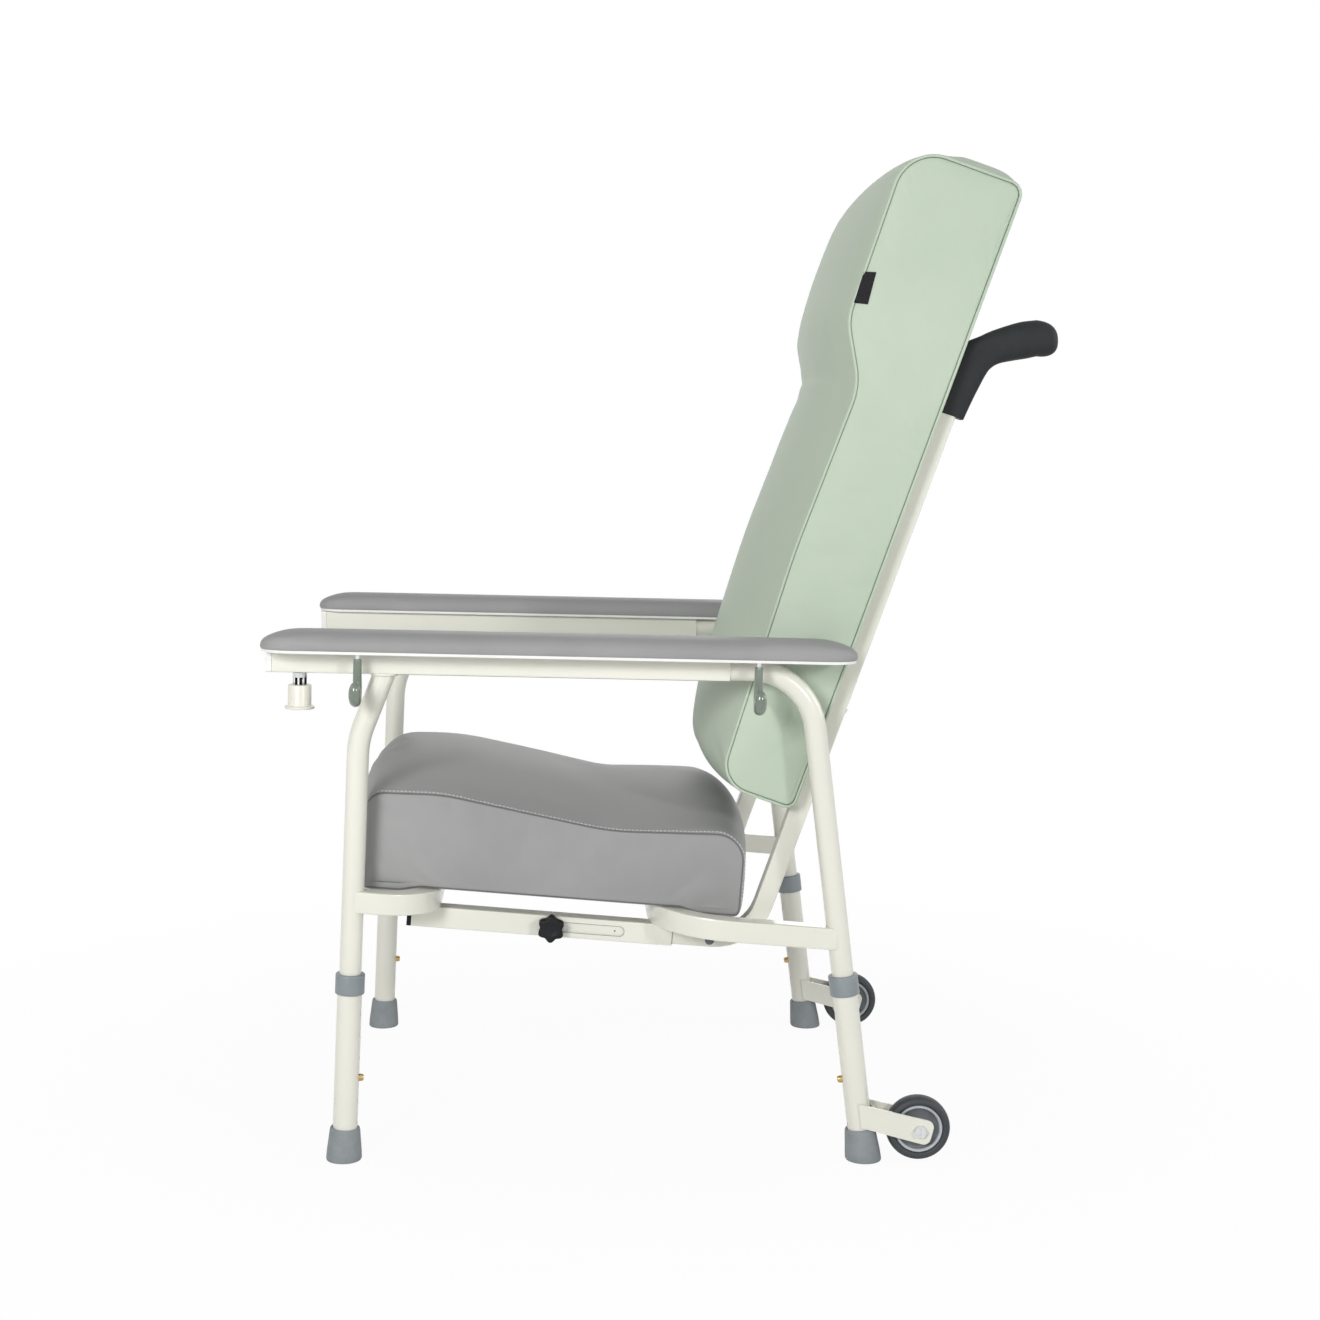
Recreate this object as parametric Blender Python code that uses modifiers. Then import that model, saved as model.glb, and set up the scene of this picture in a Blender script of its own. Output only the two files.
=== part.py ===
# Geriatric chair: bent tube side frames, legs of adjustable height, a tall back that slides to set
# the seat depth, padded arms with hooks and tray sockets, and two transport wheels at the rear.
# Metres, +Z up. The chair faces -Y and the sitter's left is +X. The origin lies on the floor under
# the middle of the chair's box.

import math

import bmesh
import bpy
from mathutils import Matrix, Vector

# Clearances
FIT = 0.0003
SLIDE_FIT = 0.0004
PIN_FIT = 0.0003

# Round leg tubes and their places on the floor
SIDE_SPACING = 0.560
SIDE_X = SIDE_SPACING / 2
LEG_TUBE = 0.0254
LEG_WALL = 0.0015
FRONT_FOOT_Y = -0.3663
FRONT_LEAN = math.radians(2.5)
FRONT_KINK_DROP = 0.0772
FRONT_KINK_ANGLE = math.radians(22.0)
FRONT_KINK_RADIUS = 0.100
REAR_LEAN = math.radians(7.0)
REAR_BEND_RADIUS = 0.075
REAR_BEND_PAST = 0.0900

# Telescopic lower legs
LOWER_TUBE = 0.0286
LOWER_TOP = 0.2175
UPPER_END = 0.045
UPPER_BORE_TOP = 0.210
HOLE_PITCH = 0.0254
HOLES_BELOW = 2
HOLES_ABOVE = 3
HOLE_RADIUS = 0.0046
COLLAR_RADIUS = 0.01725
COLLAR_HEIGHT = 0.027
COLLAR_LIP = 0.003
FOOT_TOP_RADIUS = 0.0172
FOOT_BASE_RADIUS = 0.0206
FOOT_HEIGHT = 0.0385
FOOT_SOLE = 0.010

# Spring buttons
BUTTON_HEIGHT = 0.0975
BUTTON_RADIUS = 0.0042
BUTTON_STAND_OUT = 0.005
BUTTON_TIP = 0.75
LEAF_THICKNESS = 0.001
LEAF_WIDTH = 0.007
LEAF_LENGTH = 0.042

# Arm rails, boards and pads
RAIL = 0.0254
RAIL_WALL = 0.002
RAIL_FRONT_Y = -0.4476
RAIL_FRONT_Z = 0.5672
ARM_SLOPE = math.radians(1.2)
BUSH_FLANGE = 0.0067
BUSH_SPIGOT = 0.015
BUSH_WALL = 0.0012
PAD_WIDTH = 0.080
PAD_LENGTH = 0.667
PAD_PAST_RAIL = 0.1453
RAIL_LENGTH = PAD_LENGTH - PAD_PAST_RAIL
PAD_HEIGHT = 0.0200
PAD_CROWN = 0.0070
PAD_TAPER = 0.075
PAD_TAPER_DROP = 0.30
PAD_OVERHANG = 0.0043
PAD_END_RADIUS = 0.034
PAD_HEM = 0.0025
PAD_BULGE = 0.0005
PAD_SHOULDER = 0.003
PAD_CROWN_STEPS = (0.0, 0.35, 0.70, 0.92)
PAD_CROWN_SPREAD = 0.88
ARM_BOARD = 0.003
ARM_BOARD_INSET = 0.001

# Hooks under the arm boards
HOOK_FROM_FRONT = 0.1055
HOOK_FROM_REAR = 0.1153
HOOK_PLACES = {"front": HOOK_FROM_FRONT, "rear": PAD_LENGTH - HOOK_FROM_REAR}
HOOK_INSET = 0.020
HOOK_PIN_RADIUS = 0.0028
HOOK_PIN_LENGTH = 0.006
HOOK_STEM_RADIUS = 0.0045
HOOK_BULB_RADIUS = 0.0085
HOOK_DROP = 0.052
HOOK_REACH = 0.024
HOOK_TIP = 0.009
HOOK_BEND = ((0, 0.70, 1.0), (0.17, 0.88, 1.05), (0.52, 0.98, 1.25))
HOOK_TIP_REACH = 0.90
HOOK_TIP_TAPER = (0.85, 0.40)

# Tray lock plungers
PLUNGER_AT = 0.0374
PLUNGER_PIN_RADIUS = 0.0040
PLUNGER_PIN_RISE = 0.007
HOUSING_COLLAR_RADIUS = 0.0082
HOUSING_COLLAR_HEIGHT = 0.0045
HOUSING_RADIUS = 0.0070
HOUSING_HEIGHT = 0.0138
PLUNGER_KNOB_RADIUS = 0.0135
PLUNGER_KNOB_HEIGHT = 0.0275
PLUNGER_FLANGE_RADIUS = 0.0178
PLUNGER_FLANGE_HEIGHT = 0.005

# Seat frame, its two bent cross tubes and the seat
SEAT_FRAME_Y = -0.3322
SEAT_FRAME_Z = 0.3152
SEAT_TILT = math.radians(4.5)
CROSS_TUBE = 0.0254
TUBE_CORNER = 0.003
FRONT_CROSS_AT = 0.066
FRONT_CROSS_BEND = 0.055
REAR_CROSS_BEND = 0.080
SIDE_GAP = 0.0173
SEAT_FRONT_AT = -0.017
SEAT_LENGTH = 0.448
SEAT_REAR_AT = SEAT_FRONT_AT + SEAT_LENGTH
REAR_CROSS_AT = SEAT_REAR_AT - 0.097
SEAT_FRONT_HEIGHT = 0.1095
SEAT_HUMP_AT = 0.070
SEAT_HUMP_HEIGHT = 0.112
SEAT_HUMP_BEND = 0.30
SEAT_DIP_AT = SEAT_REAR_AT - 0.156
SEAT_DIP_HEIGHT = 0.087
SEAT_DIP_BEND = 0.40
SEAT_REAR_HEIGHT = 0.088
SEAT_CROWN = 0.017
SEAT_END_CROWN = 0.6
SEAT_EDGE_RADIUS = 0.036
SEAT_REAR_RADIUS = 0.045
SEAT_FOOT_RADIUS = 0.012
BOARD = 0.010
BOARD_INSET = 0.022

# Soft rim of the sewn cushions: steps of (inset from the side, inset of the outline) in rims
RIM = 0.008
RIM_STEPS = ((0.35, 2.6), (0.0, 1.1), (0.3, 0.35), (1.0, 0.0))
RIM_END = 2.4
CROWN_STEPS = (0.80, 0.55, 0.28)

# Sliding back tubes, their sleeves and star knobs
BACK_TUBE = 0.022
BACK_TUBE_X = SIDE_X - 0.070
SLEEVE_WALL = 0.0014
SLEEVE_FRONT_AT = 0.045
SLEEVE_REAR_AT = REAR_CROSS_AT + 0.017
CAP_PLATE = 0.005
CAP_PLUG = 0.010
TUBE_FRONT_AT = 0.060
KNOB_AT = SLEEVE_REAR_AT - 0.1421
SLIDE_TRAVEL = 0.080
SLOT_HEIGHT = 0.012
SLOT_FLAT = 0.0003
KNOB_BOLT_RADIUS = 0.0040
KNOB_BOLT_REACH = 0.009
KNOB_RADIUS = 0.0145
KNOB_LOBE = 0.0017
KNOB_LOBES = 6
KNOB_THICKNESS = 0.0135
KNOB_BOSS_RADIUS = 0.0085
KNOB_BOSS = 0.004

# Back cushion and push handles
BACK_BEHIND_SEAT = 0.03802
BACK_LIFT = 0.10736
BACK_LEAN = math.radians(19.6)
BACK_BEND_RADIUS = 0.060
BACK_SIDE_GAP = 0.009
BACK_NARROWER = 0.004
BACK_FROM = 0.019
BACK_HEIGHT = 0.757
BACK_TOP = BACK_FROM + BACK_HEIGHT
BACK_THICKNESS = 0.094
NECK_THICKNESS = 0.0915
NECK_AT = BACK_TOP - 0.301
NECK_BEND = 0.12
HEAD_THICKNESS = 0.137
HEAD_AT = BACK_TOP - 0.211
HEAD_BEND = 0.10
HEAD_TOP_RADIUS = 0.058
BACK_CROWN = 0.0275
BACK_END_CROWN = 0.35
# Share of the crown at heights from the foot, the neck, the head and the top
CROWN_FROM_FOOT = ((0.0, 0.45), (0.09, 1.0))
CROWN_FROM_NECK = ((-0.06, 1.0),)
CROWN_FROM_HEAD = ((-0.02, 0.5), (0.06, 0.75))
CROWN_FROM_TOP = ((-0.12, 0.85), (0.0, 0.35))
BACK_ROLL = 0.0045
BACK_FOOT_RADIUS = 0.034
BACK_REAR_RADIUS = 0.020
SPACER = 0.0020
SPACER_RADIUS = 0.010
SPACER_PLACES = (BACK_FROM + 0.106, NECK_AT - 0.055)
HANDLE_AT = BACK_TOP - 0.1997
HANDLE_RISE = math.radians(12.0)
HANDLE_BEND_RADIUS = 0.050
HANDLE_LENGTH = 0.1020
GRIP_FROM = HANDLE_AT - 0.0713
GRIP_WALL = 0.0016
GRIP_REAR_WALL = 0.010
GRIP_HALF_WIDTH = 0.0165
GRIP_HALF_HEIGHT = 0.0210
GRIP_END = 0.006
GRIP_STEPS = (0.0480, 0.0220, 0.0074, 0.0022)
GRIP_NOSE = (0.86, 0.55)
GRIP_SQUARE = 5.0
GRIP_OVAL = 2.6

# Rear wheels
WHEEL_RADIUS = 0.036
WHEEL_WIDTH = 0.022
WHEEL_CLEARANCE = 0.0025
WHEEL_BEHIND = 0.0620
TYRE_SHOULDER = 0.004
TYRE_CHAMFER = 0.006
TYRE_BEAD = 0.003
HUB_RADIUS = 0.026
HUB_WIDTH = 0.019
HUB_RIM = 0.003
HUB_BOSS = 0.006
HUB_SLOPE = 0.001
HUB_RECESS = 0.005
AXLE_RADIUS = 0.0040
AXLE_HEAD_RADIUS = 0.0075
AXLE_HEAD = 0.0052
BRACKET_PLATE = 0.0025
BRACKET_ROOT = 0.028
BRACKET_LIFT = 0.004
BRACKET_END_RADIUS = 0.0145
BRACKET_CORNER = 0.008
BRACKET_WEB = 0.003

SIDES = {"left": 1, "right": -1}
ROUND_STEPS = 20
WHEEL_STEPS = 28
GRIP_SIDES = 16
BOLT_SIDES = 12

# Colours with roughness and metallic value
IVORY = ((0.83, 0.82, 0.74), 0.38, 0.0)
GREY_VINYL = ((0.33, 0.33, 0.33), 0.50, 0.0)
SAGE_VINYL = ((0.52, 0.60, 0.48), 0.50, 0.0)
WHITE_PLASTIC = ((0.88, 0.88, 0.86), 0.35, 0.0)
CREAM_PLASTIC = ((0.88, 0.84, 0.72), 0.35, 0.0)
COLLAR_GREY = ((0.22, 0.26, 0.29), 0.45, 0.0)
FOOT_GREY = ((0.22, 0.24, 0.25), 0.75, 0.0)
HOOK_GREY = ((0.20, 0.25, 0.20), 0.25, 0.0)
BLACK_PLASTIC = ((0.015, 0.015, 0.016), 0.45, 0.0)
TYRE_BLACK = ((0.05, 0.055, 0.06), 0.80, 0.0)
HUB_GREY = ((0.15, 0.16, 0.17), 0.50, 0.0)
BRASS = ((0.62, 0.46, 0.20), 0.30, 1.0)
STEEL = ((0.55, 0.56, 0.57), 0.30, 1.0)
PLYWOOD = ((0.45, 0.33, 0.20), 0.70, 0.0)


def clear_scene():
    for old in list(bpy.data.objects):
        bpy.data.objects.remove(old, do_unlink=True)


def collection(name):
    made = bpy.data.collections.new(name)
    bpy.context.scene.collection.children.link(made)
    return made


clear_scene()
PARTS = collection("geriatric_chair")
CUTTERS = collection("cutters")


# Materials and placing


def material(name, finish):
    colour, roughness, metallic = finish
    made = bpy.data.materials.new(name)
    made.use_nodes = True
    shader = made.node_tree.nodes["Principled BSDF"]
    shader.inputs["Base Color"].default_value = (*colour, 1.0)
    shader.inputs["Roughness"].default_value = roughness
    shader.inputs["Metallic"].default_value = metallic
    return made


def set_out(name, location, tilt):
    """An empty whose Z axis is tilted about X; pieces drawn in its frame are parented to it."""
    empty = bpy.data.objects.new(name, None)
    empty.location = location
    empty.rotation_euler = (tilt, 0, 0)
    PARTS.objects.link(empty)
    return empty


def add(name, mesh, finish, parent=None):
    made = bpy.data.objects.new(name, mesh)
    made.data.materials.append(material(name, finish))
    mesh.shade_smooth()
    mesh.set_sharp_from_angle(angle=math.radians(35))
    made.parent = parent
    PARTS.objects.link(made)
    return made


def add_cutter(name, mesh, parent=None):
    made = bpy.data.objects.new(name, mesh)
    made.parent = parent
    made.hide_render = True
    made.display_type = "WIRE"
    CUTTERS.objects.link(made)
    return made


def combine(obj, other, operation):
    step = obj.modifiers.new(other.name, "BOOLEAN")
    step.operation = operation
    step.object = other
    step.solver = "EXACT"


# Meshes


def mesh_of(name, work):
    mesh = bpy.data.meshes.new(name)
    bmesh.ops.recalc_face_normals(work, faces=work.faces)
    work.to_mesh(mesh)
    work.free()
    return mesh


def box_mesh(name, low, high):
    work = bmesh.new()
    middle = (Vector(low) + Vector(high)) / 2
    size = Vector(high) - Vector(low)
    place = Matrix.Translation(middle) @ Matrix.Diagonal((*size, 1))
    bmesh.ops.create_cube(work, size=1, matrix=place)
    return mesh_of(name, work)


def cylinder_mesh(name, radius, ends, steps=ROUND_STEPS):
    """A mesh of one cylinder for each pair of end points."""
    work = bmesh.new()
    for start, end in ends:
        start, end = Vector(start), Vector(end)
        turn = (end - start).to_track_quat("Z", "Y").to_matrix().to_4x4()
        place = Matrix.Translation((start + end) / 2) @ turn
        depth = (end - start).length
        bmesh.ops.create_cone(
            work, cap_ends=True, segments=steps, radius1=radius, radius2=radius, depth=depth, matrix=place
        )
    return mesh_of(name, work)


def loft_mesh(name, rings):
    """A closed skin through rings of equally many points, with a flat face at each end."""
    work = bmesh.new()
    rows = [[work.verts.new(point) for point in ring] for ring in rings]
    count = len(rows[0])
    for lower, upper in zip(rows, rows[1:]):
        for i in range(count):
            j = (i + 1) % count
            work.faces.new((lower[i], lower[j], upper[j], upper[i]))
    work.faces.new(list(reversed(rows[0])))
    work.faces.new(rows[-1])
    return mesh_of(name, work)


def turned(name, profile, finish, parent=None, closed=False, steps=ROUND_STEPS):
    """A profile of (radius, height) points spun about Z; a closed one makes a ring."""
    mesh = bpy.data.meshes.new(name)
    links = [(i, i + 1) for i in range(len(profile) - 1)]
    if closed:
        links.append((len(profile) - 1, 0))
    mesh.from_pydata([(radius, 0, height) for radius, height in profile], links, [])
    made = add(name, mesh, finish, parent)
    spin = made.modifiers.new("spin", "SCREW")
    spin.steps = spin.render_steps = steps
    spin.use_merge_vertices = True
    spin.merge_threshold = 0.00001
    spin.use_smooth_shade = True
    return made


def rounded(corners, closed, step=math.radians(15)):
    """Points of an outline whose corners, given as (x, y, radius), are replaced by arcs."""
    points = []
    for i, (x, y, radius) in enumerate(corners):
        here = Vector((x, y))
        if radius == 0 or (not closed and i in (0, len(corners) - 1)):
            points.append(here)
            continue
        before = (Vector(corners[i - 1][:2]) - here).normalized()
        after = (Vector(corners[(i + 1) % len(corners)][:2]) - here).normalized()
        half = before.angle(after) / 2
        centre = here + (before + after).normalized() * (radius / math.sin(half))
        start = here + before * (radius / math.tan(half)) - centre
        end = here + after * (radius / math.tan(half)) - centre
        turn = math.atan2(start.cross(end), start.dot(end))
        count = max(2, math.ceil(abs(turn) / step))
        for k in range(count + 1):
            points.append(centre + Matrix.Rotation(turn * k / count, 2) @ start)
    return points


def outward(points):
    """The outward unit normal at each point of a closed outline."""
    area = sum(a.cross(b) for a, b in zip(points, points[1:] + points[:1]))
    sign = 1 if area > 0 else -1
    normals = []
    for i, _ in enumerate(points):
        along = points[(i + 1) % len(points)] - points[i - 1]
        normals.append(Vector((along.y, -along.x)).normalized() * sign)
    return normals


def curve_mesh(name, points, radius=None, section=None, sizes=None, resolution=8):
    """A swept tube as a mesh: round with a radius, or square with a section curve."""
    curve = bpy.data.curves.new(name, "CURVE")
    curve.dimensions = "3D"
    curve.twist_mode = "Z_UP"
    curve.use_fill_caps = True
    if section:
        curve.bevel_mode = "OBJECT"
        curve.bevel_object = section
    else:
        curve.bevel_depth = radius
        curve.bevel_resolution = resolution
    spline = curve.splines.new("POLY")
    spline.points.add(len(points) - 1)
    for i, (target, point) in enumerate(zip(spline.points, points)):
        target.co = (*Vector(point).to_3d(), 1)
        target.radius = sizes[i] if sizes else 1
    guide = bpy.data.objects.new(name + "_path", curve)
    CUTTERS.objects.link(guide)
    graph = bpy.context.evaluated_depsgraph_get()
    mesh = bpy.data.meshes.new_from_object(guide.evaluated_get(graph))
    mesh.name = name
    bpy.data.objects.remove(guide)
    work = bmesh.new()
    work.from_mesh(mesh)
    bmesh.ops.remove_doubles(work, verts=work.verts, dist=0.000001)
    bmesh.ops.recalc_face_normals(work, faces=work.faces)
    work.to_mesh(mesh)
    work.free()
    mesh.materials.clear()
    return mesh


def square_section(name, size):
    """A guide curve of a square tube's rounded outline."""
    half = size / 2
    corners = [(half, half, TUBE_CORNER), (-half, half, TUBE_CORNER)]
    corners += [(-half, -half, TUBE_CORNER), (half, -half, TUBE_CORNER)]
    curve = bpy.data.curves.new(name, "CURVE")
    curve.dimensions = "2D"
    spline = curve.splines.new("POLY")
    points = rounded(corners, True, math.radians(45))
    spline.points.add(len(points) - 1)
    for target, point in zip(spline.points, points):
        target.co = (point.x, point.y, 0, 1)
    spline.use_cyclic_u = True
    guide = bpy.data.objects.new(name, curve)
    guide.hide_render = True
    CUTTERS.objects.link(guide)
    return guide


# Lines in the side view, as (Y, Z) points and directions


def leaning(angle):
    return Vector((math.sin(angle), math.cos(angle)))


def meet(point, along, other, other_along):
    """Where two lines of the side view cross."""
    share = (other - point).cross(other_along) / along.cross(other_along)
    return point + along * share


def in_side_view(obj, x):
    """Stands an outline that was drawn flat in the side view's plane at x."""
    obj.location = (x, 0, 0)
    obj.rotation_euler = (math.pi / 2, 0, math.pi / 2)


FRONT_FOOT = Vector((FRONT_FOOT_Y, 0))
FRONT_UP = leaning(FRONT_LEAN)
REAR_UP = leaning(-REAR_LEAN)
RAIL_FRONT = Vector((RAIL_FRONT_Y, RAIL_FRONT_Z))
RAIL_ALONG = leaning(math.pi / 2 + ARM_SLOPE)
RAIL_UP = leaning(ARM_SLOPE)
RAIL_AXIS = RAIL_FRONT + RAIL_UP * (RAIL / 2)
REAR_CORNER = RAIL_AXIS + RAIL_ALONG * (RAIL_LENGTH + REAR_BEND_PAST)
REAR_FOOT = REAR_CORNER - REAR_UP * (REAR_CORNER.y / REAR_UP.y)
SEAT_START = Vector((SEAT_FRAME_Y, SEAT_FRAME_Z))
SEAT_ALONG = leaning(math.pi / 2 + SEAT_TILT)
SEAT_UP = leaning(SEAT_TILT)
BACK_FOOT = SEAT_START + SEAT_ALONG * (SEAT_REAR_AT + BACK_BEHIND_SEAT) + SEAT_UP * BACK_LIFT
BACK_UP = leaning(BACK_LEAN)
BACK_REARWARD = leaning(math.pi / 2 + BACK_LEAN)

SEAT_HALF = SIDE_X - LEG_TUBE / 2 - SIDE_GAP
BACK_HALF = SEAT_HALF - BACK_NARROWER
PAD_MIDDLE = BACK_HALF + BACK_SIDE_GAP + PAD_WIDTH / 2
SLEEVE = BACK_TUBE + 2 * (SLIDE_FIT + SLEEVE_WALL)
SLEEVE_DROP = CROSS_TUBE + FIT + SLEEVE / 2
TUBE_BEHIND = SPACER + FIT + BACK_TUBE / 2

SEAT_SPACE = set_out("seat_frame_space", (0, *SEAT_START), -SEAT_TILT)
BACK_SPACE = set_out("back_space", (0, *BACK_FOOT), -BACK_LEAN)


def leg_cutter(name, side, foot, up):
    """A cylinder on a leg's axis that copes the cross tube's end to the leg."""
    top = foot + up * SEAT_FRAME_Z * 2
    ends = [((side * SIDE_X, *foot), (side * SIDE_X, *top))]
    return add_cutter(name, cylinder_mesh(name, LEG_TUBE / 2 + FIT, ends))


# Upper side frame tubes


def upper_leg(name, side, path, space, facing):
    """A bent leg tube, bored at its foot, with the button's hole on the side that it faces."""
    tube = add(name, curve_mesh(name, path, LEG_TUBE / 2), IVORY)
    in_side_view(tube, side * SIDE_X)
    bore = [((0, 0, 0), (0, 0, UPPER_BORE_TOP))]
    hollow = cylinder_mesh(name + "_bore", LEG_TUBE / 2 - LEG_WALL, bore)
    combine(tube, add_cutter(name + "_bore", hollow, space), "DIFFERENCE")
    hole = [((0, 0, BUTTON_HEIGHT), (0, facing * LOWER_TUBE, BUTTON_HEIGHT))]
    cut = cylinder_mesh(name + "_hole", BUTTON_RADIUS + PIN_FIT, hole, 12)
    combine(tube, add_cutter(name + "_hole", cut, space), "DIFFERENCE")
    return tube


def front_leg_tube(side_name, side, space, rail_cutter):
    kink = FRONT_FOOT + FRONT_UP * ((RAIL_FRONT_Z - FRONT_KINK_DROP) / FRONT_UP.y)
    slant = leaning(FRONT_KINK_ANGLE)
    top = meet(kink, slant, RAIL_AXIS, RAIL_ALONG)
    corners = [(*(FRONT_FOOT + FRONT_UP * UPPER_END), 0), (*kink, FRONT_KINK_RADIUS), (*top, 0)]
    path = rounded(corners, False, math.radians(6))
    tube = upper_leg("front_leg_tube_" + side_name, side, path, space, 1)
    combine(tube, rail_cutter, "DIFFERENCE")


def rear_leg_tube(side_name, side, space):
    start = RAIL_AXIS + RAIL_ALONG * (RAIL_LENGTH + FIT)
    corners = [(*(REAR_FOOT + REAR_UP * UPPER_END), 0), (*REAR_CORNER, REAR_BEND_RADIUS), (*start, 0)]
    path = rounded(corners, False, math.radians(10))
    upper_leg("rear_leg_tube_" + side_name, side, path, space, -1)


# Telescopic legs


def lower_leg(name, space, facing):
    """The outer tube with its row of holes, drawn on the leg's own axis."""
    radius = LOWER_TUBE / 2
    bore = LEG_TUBE / 2 + SLIDE_FIT / 2
    wall = [(bore, FOOT_SOLE + FIT), (bore, LOWER_TOP), (radius, LOWER_TOP), (radius, FOOT_SOLE + FIT)]
    leg = turned("leg_" + name, wall, IVORY, space, closed=True)
    ends = []
    for k in range(-HOLES_BELOW, HOLES_ABOVE + 1):
        height = BUTTON_HEIGHT + k * HOLE_PITCH
        ends.append(((0, facing * bore / 2, height), (0, facing * LOWER_TUBE, height)))
    holes = cylinder_mesh("leg_holes_" + name, HOLE_RADIUS, ends, 10)
    combine(leg, add_cutter("leg_holes_" + name, holes, space), "DIFFERENCE")

    sleeve = radius + FIT
    lip = LEG_TUBE / 2 + SLIDE_FIT / 2
    bottom = LOWER_TOP + FIT + COLLAR_LIP - COLLAR_HEIGHT
    ring = [(lip, LOWER_TOP + FIT), (lip, LOWER_TOP + FIT + COLLAR_LIP)]
    ring += [(COLLAR_RADIUS, LOWER_TOP + FIT + COLLAR_LIP), (COLLAR_RADIUS, bottom)]
    ring += [(sleeve, bottom), (sleeve, LOWER_TOP + FIT)]
    turned("collar_" + name, ring, COLLAR_GREY, space, closed=True)

    spread = (FOOT_BASE_RADIUS - FOOT_TOP_RADIUS) / FOOT_HEIGHT
    under = -FOOT_BASE_RADIUS / 2
    shoe = [(0, FOOT_SOLE), (sleeve, FOOT_SOLE), (sleeve, FOOT_HEIGHT), (FOOT_TOP_RADIUS, FOOT_HEIGHT)]
    shoe += [(FOOT_TOP_RADIUS + spread * (FOOT_HEIGHT - under), under), (0, under)]
    foot = turned("foot_" + name, shoe, FOOT_GREY, space)
    combine(foot, FLOOR_CUTTER, "DIFFERENCE")


def snap_button(name, space, facing):
    """A brass button on a leaf that lies inside the upper tube."""
    head_end = LOWER_TUBE / 2 + BUTTON_STAND_OUT
    leaf_face = LEG_TUBE / 2 - LEG_WALL - LEAF_THICKNESS
    leaf = [facing * (leaf_face - LEAF_THICKNESS), facing * leaf_face]
    low = (-LEAF_WIDTH / 2, min(leaf), BUTTON_HEIGHT - LEAF_WIDTH / 2)
    high = (LEAF_WIDTH / 2, max(leaf), BUTTON_HEIGHT - LEAF_WIDTH / 2 + LEAF_LENGTH)
    button = add("snap_button_" + name, box_mesh("leaf_" + name, low, high), BRASS, space)
    rim = BUTTON_RADIUS * BUTTON_TIP
    heights = [leaf_face - LEAF_THICKNESS / 2, head_end - BUTTON_RADIUS / 2, head_end]
    rings = []
    for height, radius in zip(heights, (BUTTON_RADIUS, BUTTON_RADIUS, rim)):
        turns = [2 * math.pi * k / BOLT_SIDES for k in range(BOLT_SIDES)]
        ring = [(radius * math.cos(t), facing * height, BUTTON_HEIGHT + radius * math.sin(t)) for t in turns]
        rings.append(ring)
    head = add_cutter("button_head_" + name, loft_mesh("button_head_" + name, rings), space)
    combine(button, head, "UNION")


# Rear wheels


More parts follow.
